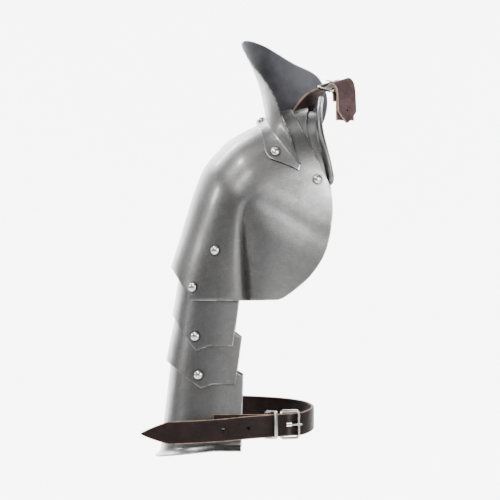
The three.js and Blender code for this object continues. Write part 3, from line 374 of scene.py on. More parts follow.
def neck_place(lame):
    """Places of one neck lame's sheet: u from its front ear over the arch to its rear ear."""
    lean = math.radians(lame["lean"])
    radius = lame["radius"]
    inward = Vector((math.sin(lean), 0, -math.cos(lean)))

    def on_arch(up, aside, side):
        share = (min(math.hypot(up, aside), radius) / radius) ** NECK_POWER
        y = lame["depth"] * max(1 - share, 0) ** (1 / NECK_POWER)
        x = up * math.cos(lean) - aside * math.sin(lean)
        z = up * math.sin(lean) + aside * math.cos(lean)
        return NECK_PIVOT + Vector((x, side * y, z))

    def outward(place):
        gap = place - NECK_PIVOT
        reach = max(math.hypot(gap.x, gap.z), 1e-6)
        out = (reach / radius) ** (NECK_POWER - 1) / radius
        y = (abs(gap.y) / lame["depth"]) ** (NECK_POWER - 1) / lame["depth"]
        return Vector((out * gap.x / reach, math.copysign(y, gap.y), out * gap.z / reach)).normalized()

    def place(u, v):
        column = abs(2 * u - 1) * (ARCH_COLUMNS + EAR_COLUMNS)
        side = -1 if u < 0.5 else 1
        height = 0
        if column < ARCH_COLUMNS:
            height = math.cos(column / ARCH_COLUMNS * math.pi / 2) ** (2 / NECK_POWER)
        ear = max(column - ARCH_COLUMNS, 0) / EAR_COLUMNS
        ear_drop = between(NECK_EAR_DROPS, ear) * NECK_EAR
        narrow = between(NECK_EAR_WIDTHS, ear)
        edge = between(lame["edge"], height) * narrow
        cover = (NECK_EAR + (lame["cover"] - NECK_EAR) * height) * narrow
        flat = min(v / ROLL_START_SHARE, 1) if lame["rolled"] else v
        aside = cover + (edge - cover) * flat
        sag = height * height * (radius - math.sqrt(radius ** 2 - aside ** 2))
        foot = on_arch(radius * height - sag + ear_drop, aside, side)
        if not lame["rolled"] or v <= ROLL_START_SHARE:
            return foot
        rise = ROLL_FOOT_RISE + (ROLL_RISE - ROLL_FOOT_RISE) * height
        rise += (ROLL_TUCK - rise) * min(ear * 2, 1)
        curled = max(v - ROLL_START_SHARE - ROLL_WALL_SHARE, 0) / (1 - ROLL_START_SHARE - ROLL_WALL_SHARE)
        turn = math.radians(180 - ROLL_TURN * curled)
        along = ROLL_STEP + ROLL_RADIUS * (1 + math.cos(turn))
        roll = foot + outward(foot) * (rise + ROLL_RADIUS * math.sin(turn)) + inward * along
        return foot.lerp(roll, min((v - ROLL_START_SHARE) / ROLL_WALL_SHARE, 1))

    return place


# How meshes are made

def choose(*pieces):
    bpy.ops.object.select_all(action="DESELECT")
    for piece in pieces:
        piece.select_set(True)
    bpy.context.view_layer.objects.active = pieces[0]


def named(piece, name):
    piece.name = name
    piece.data.name = name
    return piece


def finish_modifier(piece, kind, **settings):
    """Adds one modifier with its settings and applies it."""
    modifier = piece.modifiers.new(kind.title(), kind)
    for setting, value in settings.items():
        setattr(modifier, setting, value)
    choose(piece)
    bpy.ops.object.modifier_apply(modifier=modifier.name)


def eased(piece, width, segments, angle):
    """Rounds the edges that are sharper than an angle."""
    finish_modifier(
        piece, "BEVEL", width=width * MM, segments=segments, limit_method="ANGLE",
        angle_limit=math.radians(angle))


def tidy_faces(piece):
    """Merges doubled points and turns the faces outwards."""
    choose(piece)
    bpy.ops.object.mode_set(mode="EDIT")
    bpy.ops.mesh.select_all(action="SELECT")
    bpy.ops.mesh.remove_doubles(threshold=0.000004)
    bpy.ops.mesh.normals_make_consistent(inside=False)
    bpy.ops.object.mode_set(mode="OBJECT")


def smooth(piece, angle=35):
    choose(piece)
    bpy.ops.object.shade_smooth_by_angle(angle=math.radians(angle))


def laid_grid(name, across, down, place_at):
    """A grid whose points are laid by place_at(u, v). Also returns the points on the sheet's edge."""
    bpy.ops.object.select_all(action="DESELECT")
    bpy.ops.mesh.primitive_grid_add(x_subdivisions=across, y_subdivisions=down, size=1)
    piece = named(bpy.context.object, name)
    edge = []
    for point in piece.data.vertices:
        u = round((point.co.x + 0.5) * across) / across
        v = round((0.5 - point.co.y) * down) / down
        if u in (0, 1) or v in (0, 1):
            edge.append(point.index)
        point.co = place_at(u, v) * MM
    return piece, edge


def measured(piece, name, gaps):
    """Stores one number for each point of a piece, for its finish to read."""
    attribute = piece.data.attributes.new(name, "FLOAT", "POINT")
    attribute.data.foreach_set("value", gaps)


def tree_of(places):
    """A tree that finds the nearest of some places."""
    tree = KDTree(len(places))
    for index, place in enumerate(places):
        tree.insert(place, index)
    tree.balance()
    return tree


def gaps_to(piece, places):
    """How far each point lies from the nearest of some places, in millimetres."""
    tree = tree_of(places)
    return [tree.find(point.co)[2] / MM for point in piece.data.vertices]


def plate(node, across, down, place_at, body):
    """A steel plate: a laid sheet, thickened inwards, with eased edges."""
    piece, edge = laid_grid("steel_" + node, across, down, place_at)
    measured(piece, "edge_gap", gaps_to(piece, [piece.data.vertices[k].co.copy() for k in edge]))
    # Each point's distance to the nearest rivet seat, which the face finish reads to paint shade round the
    # rivet heads.
    seats = [Vector(place) * MM for _, place, _, _ in RIVETS.values()]
    measured(piece, "rivet_gap", gaps_to(piece, seats))
    # The inner faces take blackened steel that is darkened further as painted shade.
    for finish in (STEEL_FACE, STEEL_INSIDE_BLACKENED_AND_SHADED, STEEL_EDGE):
        piece.data.materials.append(finish)
    finish_modifier(
        piece, "SOLIDIFY", thickness=SHEET * MM, offset=-1, use_even_offset=False,
        material_offset=1, material_offset_rim=2)
    eased(piece, PLATE_EASE, 2, 60)
    smooth(piece)
    return kept(piece, body, "steel", node)


def kept(piece, body, slot, *nodes):
    """Sets a finished piece on its body and hides the solids that it stands for; its slot is not used."""
    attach(piece, body)
    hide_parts(*nodes)
    return piece


def turned(name, profile, sides=32):
    """A turned piece: a disc extruded and scaled along a profile of radius and height."""
    bpy.ops.object.select_all(action="DESELECT")
    radius, height = profile[0]
    bpy.ops.mesh.primitive_circle_add(
        vertices=sides, radius=radius * MM, fill_type="NGON", location=(0, 0, height * MM))
    piece = named(bpy.context.object, name)
    bpy.ops.object.transform_apply(location=True)
    bpy.ops.object.mode_set(mode="EDIT")
    bpy.ops.mesh.select_all(action="SELECT")
    for next_radius, next_height in profile[1:]:
        rise = (next_height - height) * MM
        bpy.ops.mesh.extrude_region_move(TRANSFORM_OT_translate={"value": (0, 0, rise)})
        bpy.ops.transform.resize(value=(next_radius / radius, next_radius / radius, 1))
        radius, height = next_radius, next_height
    bpy.ops.mesh.select_all(action="SELECT")
    bpy.ops.mesh.normals_make_consistent(inside=False)
    bpy.ops.object.mode_set(mode="OBJECT")
    return piece


def copied(pattern, name):
    """A copy of a finished piece with its own mesh."""
    piece = pattern.copy()
    piece.data = pattern.data.copy()
    bpy.context.collection.objects.link(piece)
    return named(piece, name)


# Straps, wires and buckles

def smooth_route(places, t):
    """A place on the smooth curve through some places, t from 0 to 1 in even steps per stretch."""
    along = min(max(t, 0), 1) * (len(places) - 1)
    k = min(int(along), len(places) - 2)
    w = along - k
    b, c = places[k], places[k + 1]
    a = places[k - 1] if k > 0 else 2 * b - c
    d = places[k + 2] if k + 2 < len(places) else 2 * c - b
    ab, bc, cd = (math.sqrt(max((q - p).length, 1e-4)) for p, q in ((a, b), (b, c), (c, d)))
    start = ((b - a) / ab - (c - a) / (ab + bc) + (c - b) / bc) * bc
    end = ((c - b) / bc - (d - b) / (bc + cd) + (d - c) / cd) * bc
    square = 3 * (c - b) - 2 * start - end
    cube = 2 * (b - c) + start + end
    return b + start * w + square * w ** 2 + cube * w ** 3


Station = namedtuple("Station", "place run wide face from_start to_end")


def route_stations(places, wide_at, count):
    """Even stations along a route, with their directions and their distances to both ends."""
    fine = [smooth_route(places, k / ROUTE_STEPS) for k in range(ROUTE_STEPS + 1)]
    lengths = [0]
    for before, after in zip(fine, fine[1:]):
        lengths.append(lengths[-1] + (after - before).length)
    stations = []
    step = 0
    for k in range(count + 1):
        target = lengths[-1] * k / count
        while step < ROUTE_STEPS - 1 and lengths[step + 1] < target:
            step += 1
        share = (target - lengths[step]) / (lengths[step + 1] - lengths[step])
        place = fine[step].lerp(fine[step + 1], share)
        stations.append((place, target, step / ROUTE_STEPS))
    made = []
    for k, (place, target, t) in enumerate(stations):
        run = (stations[min(k + 1, count)][0] - stations[max(k - 1, 0)][0]).normalized()
        wide = wide_at(t)
        wide = (wide - run * wide.dot(run)).normalized()
        made.append(Station(place, run, wide, run.cross(wide), target, lengths[-1] - target))
    return made


def strap_ring(half_wide, half_thick):
    """Points round a strap's section: flat faces, slightly crowned, with rounded edges."""
    corner = min(half_thick * 0.75, half_wide * 0.5)
    ring = []
    for quarter, (y_side, z_side) in enumerate(((1, 1), (-1, 1), (-1, -1), (1, -1))):
        for step in range(4):
            angle = (quarter + step / 3) * math.pi / 2
            y = y_side * (half_wide - corner) + corner * math.cos(angle)
            ring.append((y, z_side * (half_thick - corner) + corner * math.sin(angle)))
        if quarter in (0, 2):
            for step in range(1, 8):
                share = step / 8
                y = y_side * (half_wide - corner) * (1 - 2 * share)
                ring.append((y, z_side * half_thick * (1 + 0.06 * math.sin(math.pi * share))))
    return ring


def band(name, stations, ring_at):
    """A closed band through stations, with the section that ring_at gives, and a mark on its edges."""
    rings = [ring_at(station) for station in stations]
    count = len(rings[0])
    last = len(stations) - 1

    def place(u, v):
        row = round(v * (last + 2)) - 1
        k = min(max(row, 0), last)
        station = stations[k]
        if row != k:
            return station.place.copy()
        y, z = rings[k][round(u * count) % count]
        return station.place + station.wide * y + station.face * z

    piece, _ = laid_grid(name, count, last + 2, place)
    half_wide = max(y for y, _ in rings[last // 2])
    middles = [station.place * MM for station in stations]
    tree = tree_of(middles)
    marks = []
    for point in piece.data.vertices:
        index = tree.find(point.co)[1]
        half = max(y for y, _ in rings[index])
        aside = abs((point.co - middles[index]).dot(stations[index].wide)) / MM
        on_edge = aside > half - RAW_EDGE and half > 0.25 * half_wide
        marks.append(1 if on_edge or index in (0, last) else 0)
    measured(piece, "raw_edge", marks)
    tidy_faces(piece)
    return piece


def tipped(point, blunt):
    """Share of the full width along a strap: pointed at its start and rounded at its end."""

    def share(station):
        at_start = max(min(station.from_start / point, 1), 0.0) ** 0.75
        at_end = math.sqrt(max(1 - (1 - min(station.to_end / blunt, 1)) ** 2, 0))
        return max(min(at_start, 0.55 + 0.45 * at_end), 0.05)

    return share


def full_width(station):
    return 1


def strap(name, places, wide_at, thickness, count, share_at=full_width, width=STRAP_WIDE):
    """A strap of one width along a route, narrowed by what share_at gives."""

    def ring(station):
        return strap_ring(width / 2 * share_at(station), thickness / 2)

    return band(name, route_stations(places, wide_at, count), ring)


def cut(piece, cutter):
    """Cuts one piece out of another and removes the cutter."""
    finish_modifier(piece, "BOOLEAN", object=cutter, operation="DIFFERENCE", solver="EXACT")
    bpy.data.objects.remove(cutter, do_unlink=True)


def punch(piece, middle, direction, radius=STRAP_HOLE):
    """Punches one round hole through a strap."""
    bpy.ops.object.select_all(action="DESELECT")
    bpy.ops.mesh.primitive_cylinder_add(vertices=24, radius=radius * MM, depth=9 * MM)
    cutter = bpy.context.object
    turn = UP.rotation_difference(direction).to_matrix().to_4x4()
    cutter.data.transform(Matrix.Translation(middle * MM) @ turn)
    cut(piece, cutter)


def slot_out(piece, buckle, long, wide, high, middle_x):
    """Cuts the prong's slot through a strap at its buckle."""
    bpy.ops.object.select_all(action="DESELECT")
    bpy.ops.mesh.primitive_cube_add(size=1)
    cutter = bpy.context.object
    size = Matrix.Diagonal((long * MM, wide * MM, high * MM, 1))
    cutter.data.transform(buckle_matrix(buckle) @ Matrix.Translation((middle_x * MM, 0, 0)) @ size)
    cut(piece, cutter)


def buckle_frame(bar, along, wide):
    """A buckle's own axes: along from its bar to its far bar, across, and out from the strap."""
    run = Vector(along).normalized()
    face = run.cross(Vector(wide)).normalized()
    return Vector(bar), run, face.cross(run).normalized(), face


def slot_strap(piece, buckle):
    """The slot in the long strap where the prong goes through."""
    slot_out(piece, buckle, FRAME_LONG * 0.7, PRONG_WIDE + PRONG_ROOM, 60, FRAME_LONG * 0.42)


def buckle_matrix(buckle):
    """Lays a piece made round the origin onto a buckle's own axes."""
    bar, run, cross, face = buckle
    return Matrix.Translation(bar * MM) @ Matrix((run, cross, face)).transposed().to_4x4()


def at_buckle(buckle, x, y, z):
    """A place given along, across and out from a buckle's bar."""
    bar, run, cross, face = buckle
    return bar + run * x + cross * y + face * z


def rounded_outline(name, long, wide, corner, segments):
    """The bare edges of a rectangle with rounded corners, left open in edit mode."""
    bpy.ops.object.select_all(action="DESELECT")
    bpy.ops.mesh.primitive_plane_add(size=1)
    piece = named(bpy.context.object, name)
    bpy.ops.object.mode_set(mode="EDIT")
    bpy.ops.mesh.select_all(action="SELECT")
    bpy.ops.transform.resize(value=(long * MM, wide * MM, 1))
    bpy.ops.mesh.bevel(offset=corner * MM, segments=segments, affect="VERTICES")
    bpy.ops.mesh.delete(type="ONLY_FACE")
    return piece


def wire_frame(name, buckle):
    """The buckle's frame: round wire bent to a rectangle with rounded corners."""
    rounded_outline(name, FRAME_LONG, FRAME_WIDE - 2 * WIRE, FRAME_CORNER, 6)
    bpy.ops.object.mode_set(mode="OBJECT")
    bpy.ops.object.convert(target="CURVE")
    piece = bpy.context.object
    piece.data.bevel_depth = WIRE * MM
    piece.data.bevel_resolution = 4
    bpy.ops.object.convert(target="MESH")
    piece = named(bpy.context.object, name)
    piece.data.transform(buckle_matrix(buckle) @ Matrix.Translation((FRAME_LONG / 2 * MM, 0, 0)))
    tidy_faces(piece)
    smooth(piece, 50)
    return piece


def prong(name, buckle):
    """The prong: a flat strip rolled round the bar and laid on the far bar, tapering to its tip."""
    angles = [math.radians(turn) for turn in range(-50, -271, -20)]
    places = [
        at_buckle(buckle, PRONG_LIFT * math.cos(angle), 0, PRONG_LIFT * math.sin(angle)) for angle in angles
    ]
    for along, rise in ((3.5, 0.1), (9, 0.15), (15, 0), (FRAME_LONG + WIRE + 0.6, -0.1)):
        places.append(at_buckle(buckle, along, 0, PRONG_LIFT + rise))
    stations = route_stations(places, lambda t: buckle[2], 60)

    def ring(station):
        taper = 1 - 0.25 * min(max(station.from_start / 26, 0), 1)
        end = math.sqrt(max(1 - (1 - min(station.to_end / 0.9, 1)) ** 2, 0.02))
        return [
            (PRONG_WIDE / 2 * taper * end * math.cos(angle), PRONG_HALF_THICK * taper * end * math.sin(angle))
            for angle in (2 * math.pi * k / 16 for k in range(16))
        ]

    piece = band(name, stations, ring)
    smooth(piece, 50)
    return piece


def keeper(name, buckle, along, low, high):
    """The keeper: a flat metal loop round the strap and its chape."""
    piece = rounded_outline(name, high - low, STRAP_WIDE + KEEPER_ROOM, KEEPER_CORNER, 4)
    bpy.ops.mesh.select_all(action="SELECT")
    bpy.ops.mesh.extrude_region_move(TRANSFORM_OT_translate={"value": (0, 0, KEEPER_WIDE * MM)})
    bpy.ops.mesh.select_all(action="SELECT")
    bpy.ops.mesh.normals_make_consistent(inside=False)
    bpy.ops.object.mode_set(mode="OBJECT")
    finish_modifier(piece, "SOLIDIFY", thickness=KEEPER_THICK * MM, offset=1)
    eased(piece, KEEPER_EASE, 3, 50)
    turn = Matrix.Rotation(math.radians(90), 4, "Y")
    middle = Matrix.Translation((along * MM, 0, (low + high) / 2 * MM))
    piece.data.transform(buckle_matrix(buckle) @ middle @ turn)
    tidy_faces(piece)
    smooth(piece, 40)
    return piece


# Finishes

class Value:
    """One output of a node. Arithmetic on it adds Math nodes to the same finish."""

    def __init__(self, finish, socket):
        self.finish = finish
        self.socket = socket

    def math(self, operation, first, second):
        return self.finish.node("ShaderNodeMath", {"operation": operation}, {0: first, 1: second})

    def __add__(self, other):
        return self.math("ADD", self, other)

    def __radd__(self, other):
        return self.math("ADD", other, self)

    def __sub__(self, other):
        return self.math("SUBTRACT", self, other)

    def __rsub__(self, other):
        return self.math("SUBTRACT", other, self)

    def __mul__(self, other):
        return self.math("MULTIPLY", self, other)

    def __rmul__(self, other):
        return self.math("MULTIPLY", other, self)

    def __truediv__(self, other):
        return self.math("DIVIDE", self, other)

    def __rtruediv__(self, other):
        return self.math("DIVIDE", other, self)


class Finish:
    """One procedural material on a piece's own coordinates."""

    def __init__(self, name, **constants):
        self.material = bpy.data.materials.new(name)
        self.material.use_nodes = True
        self.tree = self.material.node_tree
        self.shader = self.tree.nodes["Principled BSDF"]
        for socket, value in constants.items():
            self.shader.inputs[socket.replace("_", " ")].default_value = value
        self.place = self.node("ShaderNodeTexCoord", output="Object")

    def node(self, kind, settings=None, inputs=None, output=0):
        """Adds a node, sets its settings and its ramp's stops, then its inputs, and gives an output."""
        node = self.tree.nodes.new(kind)
        for setting, value in (settings or {}).items():
            if setting == "stops":
                for stop, (position, colour) in zip(self.ramp_stops(node, len(value)), value):
                    stop.position = position
                    stop.color = (*colour, 1)
            else:
                setattr(node, setting, value)
        for socket, value in (inputs or {}).items():
            if isinstance(value, Value):
                self.tree.links.new(value.socket, node.inputs[socket])
            else:
                node.inputs[socket].default_value = value
        return Value(self, node.outputs[output])

    def ramp_stops(self, node, count):
        while len(node.color_ramp.elements) < count:
            node.color_ramp.elements.new(1)
        return node.color_ramp.elements

    def noise(self, scale, detail=4.0, roughness=0.55, stretch=None, distortion=0.0):
        place = self.place
        if stretch:
            place = self.node("ShaderNodeMapping", None, {"Vector": place, "Scale": stretch})
        values = {"Vector": place, "Scale": scale, "Detail": detail, "Roughness": roughness}
        return self.node("ShaderNodeTexNoise", None, {**values, "Distortion": distortion})

    def mark(self, name):
        return self.node("ShaderNodeAttribute", {"attribute_name": name}, None, "Fac")

    def fade(self, value, start, end, low=0.0, high=1.0):
        """A smooth step of a value from one number to another."""
        inputs = {"Value": value, "From Min": start, "From Max": end, "To Min": low, "To Max": high}
        return self.node("ShaderNodeMapRange", {"interpolation_type": "SMOOTHSTEP"}, inputs)

    def mixed(self, share, first, second):
        """A colour between two colours."""
        first = first if isinstance(first, Value) else (*first, 1)
        second = second if isinstance(second, Value) else (*second, 1)
        return self.node(
            "ShaderNodeMix", {"data_type": "RGBA"}, {0: share, 6: first, 7: second}, 2)

    def bump(self, height, strength, distance):
        inputs = {"Height": height, "Strength": strength, "Distance": distance}
        return self.node("ShaderNodeBump", None, inputs)

    def wire(self, **values):
        for socket, value in values.items():
            self.tree.links.new(value.socket, self.shader.inputs[socket.replace("_", " ")])
        return self.material


def steel_face():
    """The plates' outer faces: worn grey steel with cloudy patches, fine scratches and bright edges, with
    painted shade round the rivet heads.
    """
    finish = Finish("steel_face", Metallic=1.0, Coat_Weight=0.4, Coat_Roughness=0.22)
    clouds = finish.fade(finish.noise(20, 6, 0.62, distortion=0.8), 0.34, 0.66)
    patches = finish.fade(finish.noise(70, 6, 0.65, distortion=0.4), 0.42, 0.68)
    specks = finish.fade(finish.noise(620, 3, 0.6), 0.56, 0.72)
    scratches = finish.noise(190, 3, 0.6, stretch=(1, 1, 12))
    colour = finish.mixed(clouds, (0.1, 0.099, 0.095), (0.148, 0.148, 0.15))
    colour = finish.mixed(patches * 0.5, colour, (0.108, 0.105, 0.096))
    colour = finish.mixed(specks * 0.4, colour, (0.07, 0.069, 0.066))
    colour = finish.mixed(finish.fade(scratches, 0.6, 0.74) * 0.3, colour, (0.32, 0.32, 0.32))
    # Painted shade: a dark ring just outside each rivet head, where the raised head's shadow falls on the
    # plate.
    painted_rivet_shade = finish.fade(finish.mark("rivet_gap"), RIVET_HEAD + 0.1, RIVET_HEAD + 1.8, 0.8, 0.0)
    colour = finish.mixed(painted_rivet_shade, colour, (0.04, 0.039, 0.037))
    rubbed = finish.fade(finish.noise(120, 4, 0.6), 0.42, 0.62)
    worn = finish.fade(finish.mark("edge_gap"), 0.2, 0.8, 0.5, 0.0) * rubbed
    colour = finish.mixed(worn, colour, (0.5, 0.5, 0.5))
    roughness = 0.33 + (1 - clouds) * 0.08 + patches * 0.07 + specks * 0.08 - worn * 0.08
    grain = finish.noise(1100, 2, 0.5)
    height = grain * 0.35 + scratches * 0.3 + finish.noise(34, 2, 0.5) * 1.2
    return finish.wire(
        Base_Color=colour, Roughness=roughness, Normal=finish.bump(height, 0.35, 0.0007))


def steel_inside_blackened_and_shaded():
    """The plates' inner faces: blackened steel darkened further by painted shade, dull and a little blue."""
    finish = Finish("steel_inside_blackened_and_shaded", Metallic=0.85)
    clouds = finish.noise(30, 5, 0.6)
    # The dark base colours stand partly for blackened steel and partly for painted shade on faces that turn
    # away from the light.
    colour = finish.mixed(finish.fade(clouds, 0.35, 0.68), (0.055, 0.055, 0.062), (0.1, 0.1, 0.11))
    grain = finish.noise(700, 2, 0.5)
    worn = finish.fade(finish.mark("edge_gap"), 0.3, 1.2, 0.5, 0.0)
    colour = finish.mixed(worn, colour, (0.45, 0.45, 0.46))
    return finish.wire(
        Base_Color=colour, Roughness=0.5 + clouds * 0.15, Normal=finish.bump(grain, 0.2, 0.0003))


def steel_edge():
    """The cut edges of the plates, polished by wear."""
    finish = Finish("steel_edge", Metallic=1.0)
    rub = finish.noise(220, 3, 0.6)
    colour = finish.mixed(finish.fade(rub, 0.35, 0.65), (0.1, 0.1, 0.1), (0.34, 0.34, 0.34))
    return finish.wire(Base_Color=colour, Roughness=0.24 + rub * 0.2)


def nickel():
    """Bright nickel plate on rivets and buckles, with faint rubbing."""
    finish = Finish("nickel", Metallic=1.0)
    rub = finish.noise(420, 4, 0.6)
    colour = finish.mixed(finish.fade(rub, 0.4, 0.7), (0.62, 0.615, 0.6), (0.44, 0.43, 0.41))
    return finish.wire(
        Base_Color=colour, Roughness=0.2 + rub * 0.12, Normal=finish.bump(rub, 0.03, 0.0001))


def leather(name, dark, light, raw, gloss):
    """Strap leather: fine grain, uneven dye, creases across the strap and pale raw edges."""
    finish = Finish(name, Specular_IOR_Level=0.14)
    dye = finish.fade(finish.noise(90, 5, 0.6), 0.34, 0.68)
    pores = finish.node(
        "ShaderNodeTexVoronoi", {"feature": "F1"}, {"Vector": finish.place, "Scale": 1500.0}, "Distance")
    wrinkles = finish.noise(420, 4, 0.65)
    colour = finish.mixed(dye, dark, light)
    colour = finish.mixed(finish.fade(pores, 0.1, 0.45, 0.5, 0.0), colour, [part * 0.4 for part in dark])
    scuffs = finish.fade(finish.noise(240, 5, 0.7), 0.6, 0.76)
    colour = finish.mixed(scuffs * 0.35, colour, [part * 2.4 for part in light])
    fibres = finish.noise(700, 3, 0.6)
    raw_colour = finish.mixed(fibres, raw, [part * 0.55 for part in raw])
    edge = finish.mark("raw_edge") * finish.fade(finish.noise(150, 3, 0.5), 0.3, 0.55, 0.55, 1.0)
    colour = finish.mixed(edge, colour, raw_colour)
    roughness = gloss + wrinkles * 0.2 + edge * 0.25
    height = pores * 0.7 + wrinkles * 0.9 + fibres * edge
    return finish.wire(
        Base_Color=colour, Roughness=roughness, Normal=finish.bump(height, 0.55, 0.00035))


STEEL_FACE = steel_face()
# Blackened steel with painted shade, for the plates' inner faces.
STEEL_INSIDE_BLACKENED_AND_SHADED = steel_inside_blackened_and_shaded()
STEEL_EDGE = steel_edge()
NICKEL = nickel()
ARM_LEATHER = leather(
    "arm_leather", (0.0045, 0.0016, 0.0012), (0.0105, 0.0038, 0.0027), (0.3, 0.2, 0.14), 0.42)
TAB_LEATHER = leather(
    "shoulder_leather", (0.043, 0.025, 0.025), (0.075, 0.045, 0.045), (0.42, 0.31, 0.24), 0.55)


# The pieces

# Plates: node, points across and down, the function that lays them and the body
for node, across, down, place_at, body in (
    ("cop", 200, 90, cop_place, "shoulder"),
    ("haute_piece", 160, 60, guard_place, "shoulder"),
    ("neck_lame_outer", 120, 14, neck_place(NECK_LAMES["neck_lame_outer"]), "neck_outer"),
    ("neck_lame_inner", 120, 40, neck_place(NECK_LAMES["neck_lame_inner"]), "neck_inner"),
    ("arm_lame_upper", 120, 40, lame_place(ARM_LAMES["arm_lame_upper"]), "arm_upper"),
    ("arm_lame_middle", 120, 40, lame_place(ARM_LAMES["arm_lame_middle"]), "arm_middle"),
    ("arm_lame_lower", 120, 60, lame_place(ARM_LAMES["arm_lame_lower"]), "arm_lower"),
):
    plate(node, across, down, place_at, body)


def rivets():
    """One turned rivet, copied to every seat with its shank as long as the plates there are deep."""
    profile = [
        (RIVET_TAIL * 0.9, -1 - RIVET_TAIL_THICK), (RIVET_TAIL, -1 - RIVET_TAIL_THICK * 0.8),
        (RIVET_TAIL, -1), (RIVET_SHANK, -1), (RIVET_SHANK, RIVET_LIFT), (RIVET_HEAD * 0.97, RIVET_LIFT),
    ]
    for step in range(9):
        angle = step / 9 * math.pi / 2
        radius = RIVET_HEAD * math.cos(angle)
        profile.append((radius, RIVET_LIFT + 0.15 + (RIVET_HEIGHT - 0.15) * math.sin(angle)))
    profile.append((0.1, RIVET_LIFT + RIVET_HEIGHT))
    pattern = turned("rivet_pattern", profile)
    smooth(pattern, 40)
    pattern.data.materials.append(NICKEL)
    for node, (body, seat, outward, stack) in RIVETS.items():
        piece = copied(pattern, "dome_" + node)
        for point in piece.data.vertices:
            if point.co.z < -0.5 * MM:
                point.co.z -= (stack - 1 + RIVET_LIFT) * MM
        turn = UP.rotation_difference(Vector(outward)).to_matrix().to_4x4()
        piece.data.transform(Matrix.Translation(Vector(seat) * MM) @ turn)
        kept(piece, body, "nickel", node)
    bpy.data.objects.remove(pattern, do_unlink=True)


rivets()

# The arm strap: its pointed end hangs free in front, and it runs through the keeper and the buckle,
# round the inner side of the arm and onto the back of the lowest lame
ARM_BUCKLE = buckle_frame((-20.6, -48, -249.8), (0.782, 0.624, 0), (0, 0, 1))
ARM_ROUTE = [
    Vector((-130.8, -61.5, -256.6)),
    Vector((-100, -64.4, -255.6)),
    Vector((-66, -65.6, -253.6)),
    Vector((-46, -65.7, -251.6)),
    *[at_buckle(ARM_BUCKLE, *place) for place in (
        (-18, -0.9, 4.6), (-6, -0.3, 5.2), (0, -0.1, 5.2), (4.1, 0, 3.9), (8.8, 0, 0.7), (14.5, 0, -2.4),
        (18, 0, -3), (24, 0.6, -2.8))],
    Vector((3, -19, -246.6)),
    Vector((4.5, 4, -244.4)),
    Vector((-3, 30, -241.6)),
    Vector((-22, 52, -239.6)),
    Vector((-48, 61.2, -238.4)),
    Vector((-64, 61.2, -238)),
    Vector((-79, 60.8, -238)),
]


def leathered(piece, finish, body, slot, node):
    """Gives a strap its leather and sets it on its body."""
    piece.data.materials.append(finish)
    smooth(piece, 40)
    kept(piece, body, slot, node)


def plated(piece, body, node):
    """Gives a wire piece its nickel and sets it on its body."""
    piece.data.materials.clear()
    piece.data.materials.append(NICKEL)
    kept(piece, body, "nickel", node)


def chape(name, buckle, far, far_wide, turns, tail):
    """The short strap folded round a buckle's bar, slotted for the prong."""
    fold = BAR_CLEAR + CHAPE_THICK / 2
    turned_places = [
        at_buckle(buckle, fold * math.cos(math.radians(turn)), 0, fold * math.sin(math.radians(turn)))
        for turn in turns
    ]
    places = [*far, *turned_places, tail]
    bend = (len(far) - 1) / (len(places) - 1)

    def wide_at(t):
        return Vector(far_wide).lerp(buckle[2], min(t / bend, 1))

    piece = strap(name, places, wide_at, CHAPE_THICK, 90, width=STRAP_WIDE * CHAPE_SHARE)
    slot_out(piece, buckle, 2 * fold + 8, PRONG_WIDE + PRONG_ROOM, 4 * fold, fold)
    return piece


def arm_strap():
    """The strap round the arm, with its chape, buckle, prong and keeper."""
    piece = strap("leather_arm_strap", ARM_ROUTE, lambda t: UP, STRAP_THICK, 300, tipped(22, 3))
    for x in (-86, -66, -46):
        punch(piece, Vector((x, -65.3, -254.6 + (x + 86) * 0.06)), Vector((0, 1, 0)))
    slot_strap(piece, ARM_BUCKLE)
    leathered(piece, ARM_LEATHER, "arm_lower", "arm_leather", "arm_strap")

    far = [
        Vector((-74, -60.5, -249.8)),
        Vector((-52, -60.6, -249.8)),
        Vector((-38, -60.9, -249.8)),
        at_buckle(ARM_BUCKLE, -10, 0, 0.6),
    ]
    tail = at_buckle(ARM_BUCKLE, -9, 0, -3.4)
    turns = (105, 65, 25, -15, -55, -95)
    piece = chape("leather_arm_chape", ARM_BUCKLE, far, UP, turns, tail)
    leathered(piece, ARM_LEATHER, "arm_lower", "arm_leather", "arm_chape")

    plated(wire_frame("wire_arm_buckle", ARM_BUCKLE), "arm_lower", "arm_buckle")
    plated(prong("finger_arm_prong", ARM_BUCKLE), "arm_lower", "arm_prong")
    plated(keeper("loop_arm_keeper", ARM_BUCKLE, -12.5, -4.6, 7.2), "arm_lower", "arm_keeper")


arm_strap()

# The shoulder strap: its pointed tab hangs in front of its buckle, and it runs over the rolled edge
# onto the cop behind the guard
NECK_BUCKLE = buckle_frame((28, -2, 17), (-0.6, 0.77, 0.2), (-0.74, -0.61, -0.28))
SEAT_EDGE = Vector((-8.585, 43.17, -9.389))
SEAT_END = Vector((-13.544, 53.577, -20.299))
SEAT_WIDE = Vector((-0.948, -0.261, 0.182))
NECK_ROUTE = [
    Vector((32.2, -7.6, -11)),
    Vector((31.8, -6.6, 5)),
    *[at_buckle(NECK_BUCKLE, *place) for place in (
        (-5, 0, 0.9), (-3.4, 0, 3.9), (0, 0, 5.3), (4.1, 0, 3.9), (8.8, 0, 0.7), (14.5, 0, -2.6),
        (18, 0, -3.1), (22.5, 0, -3.6))],
    Vector((7, 27, 13)),
    SEAT_EDGE,
    SEAT_END,
]


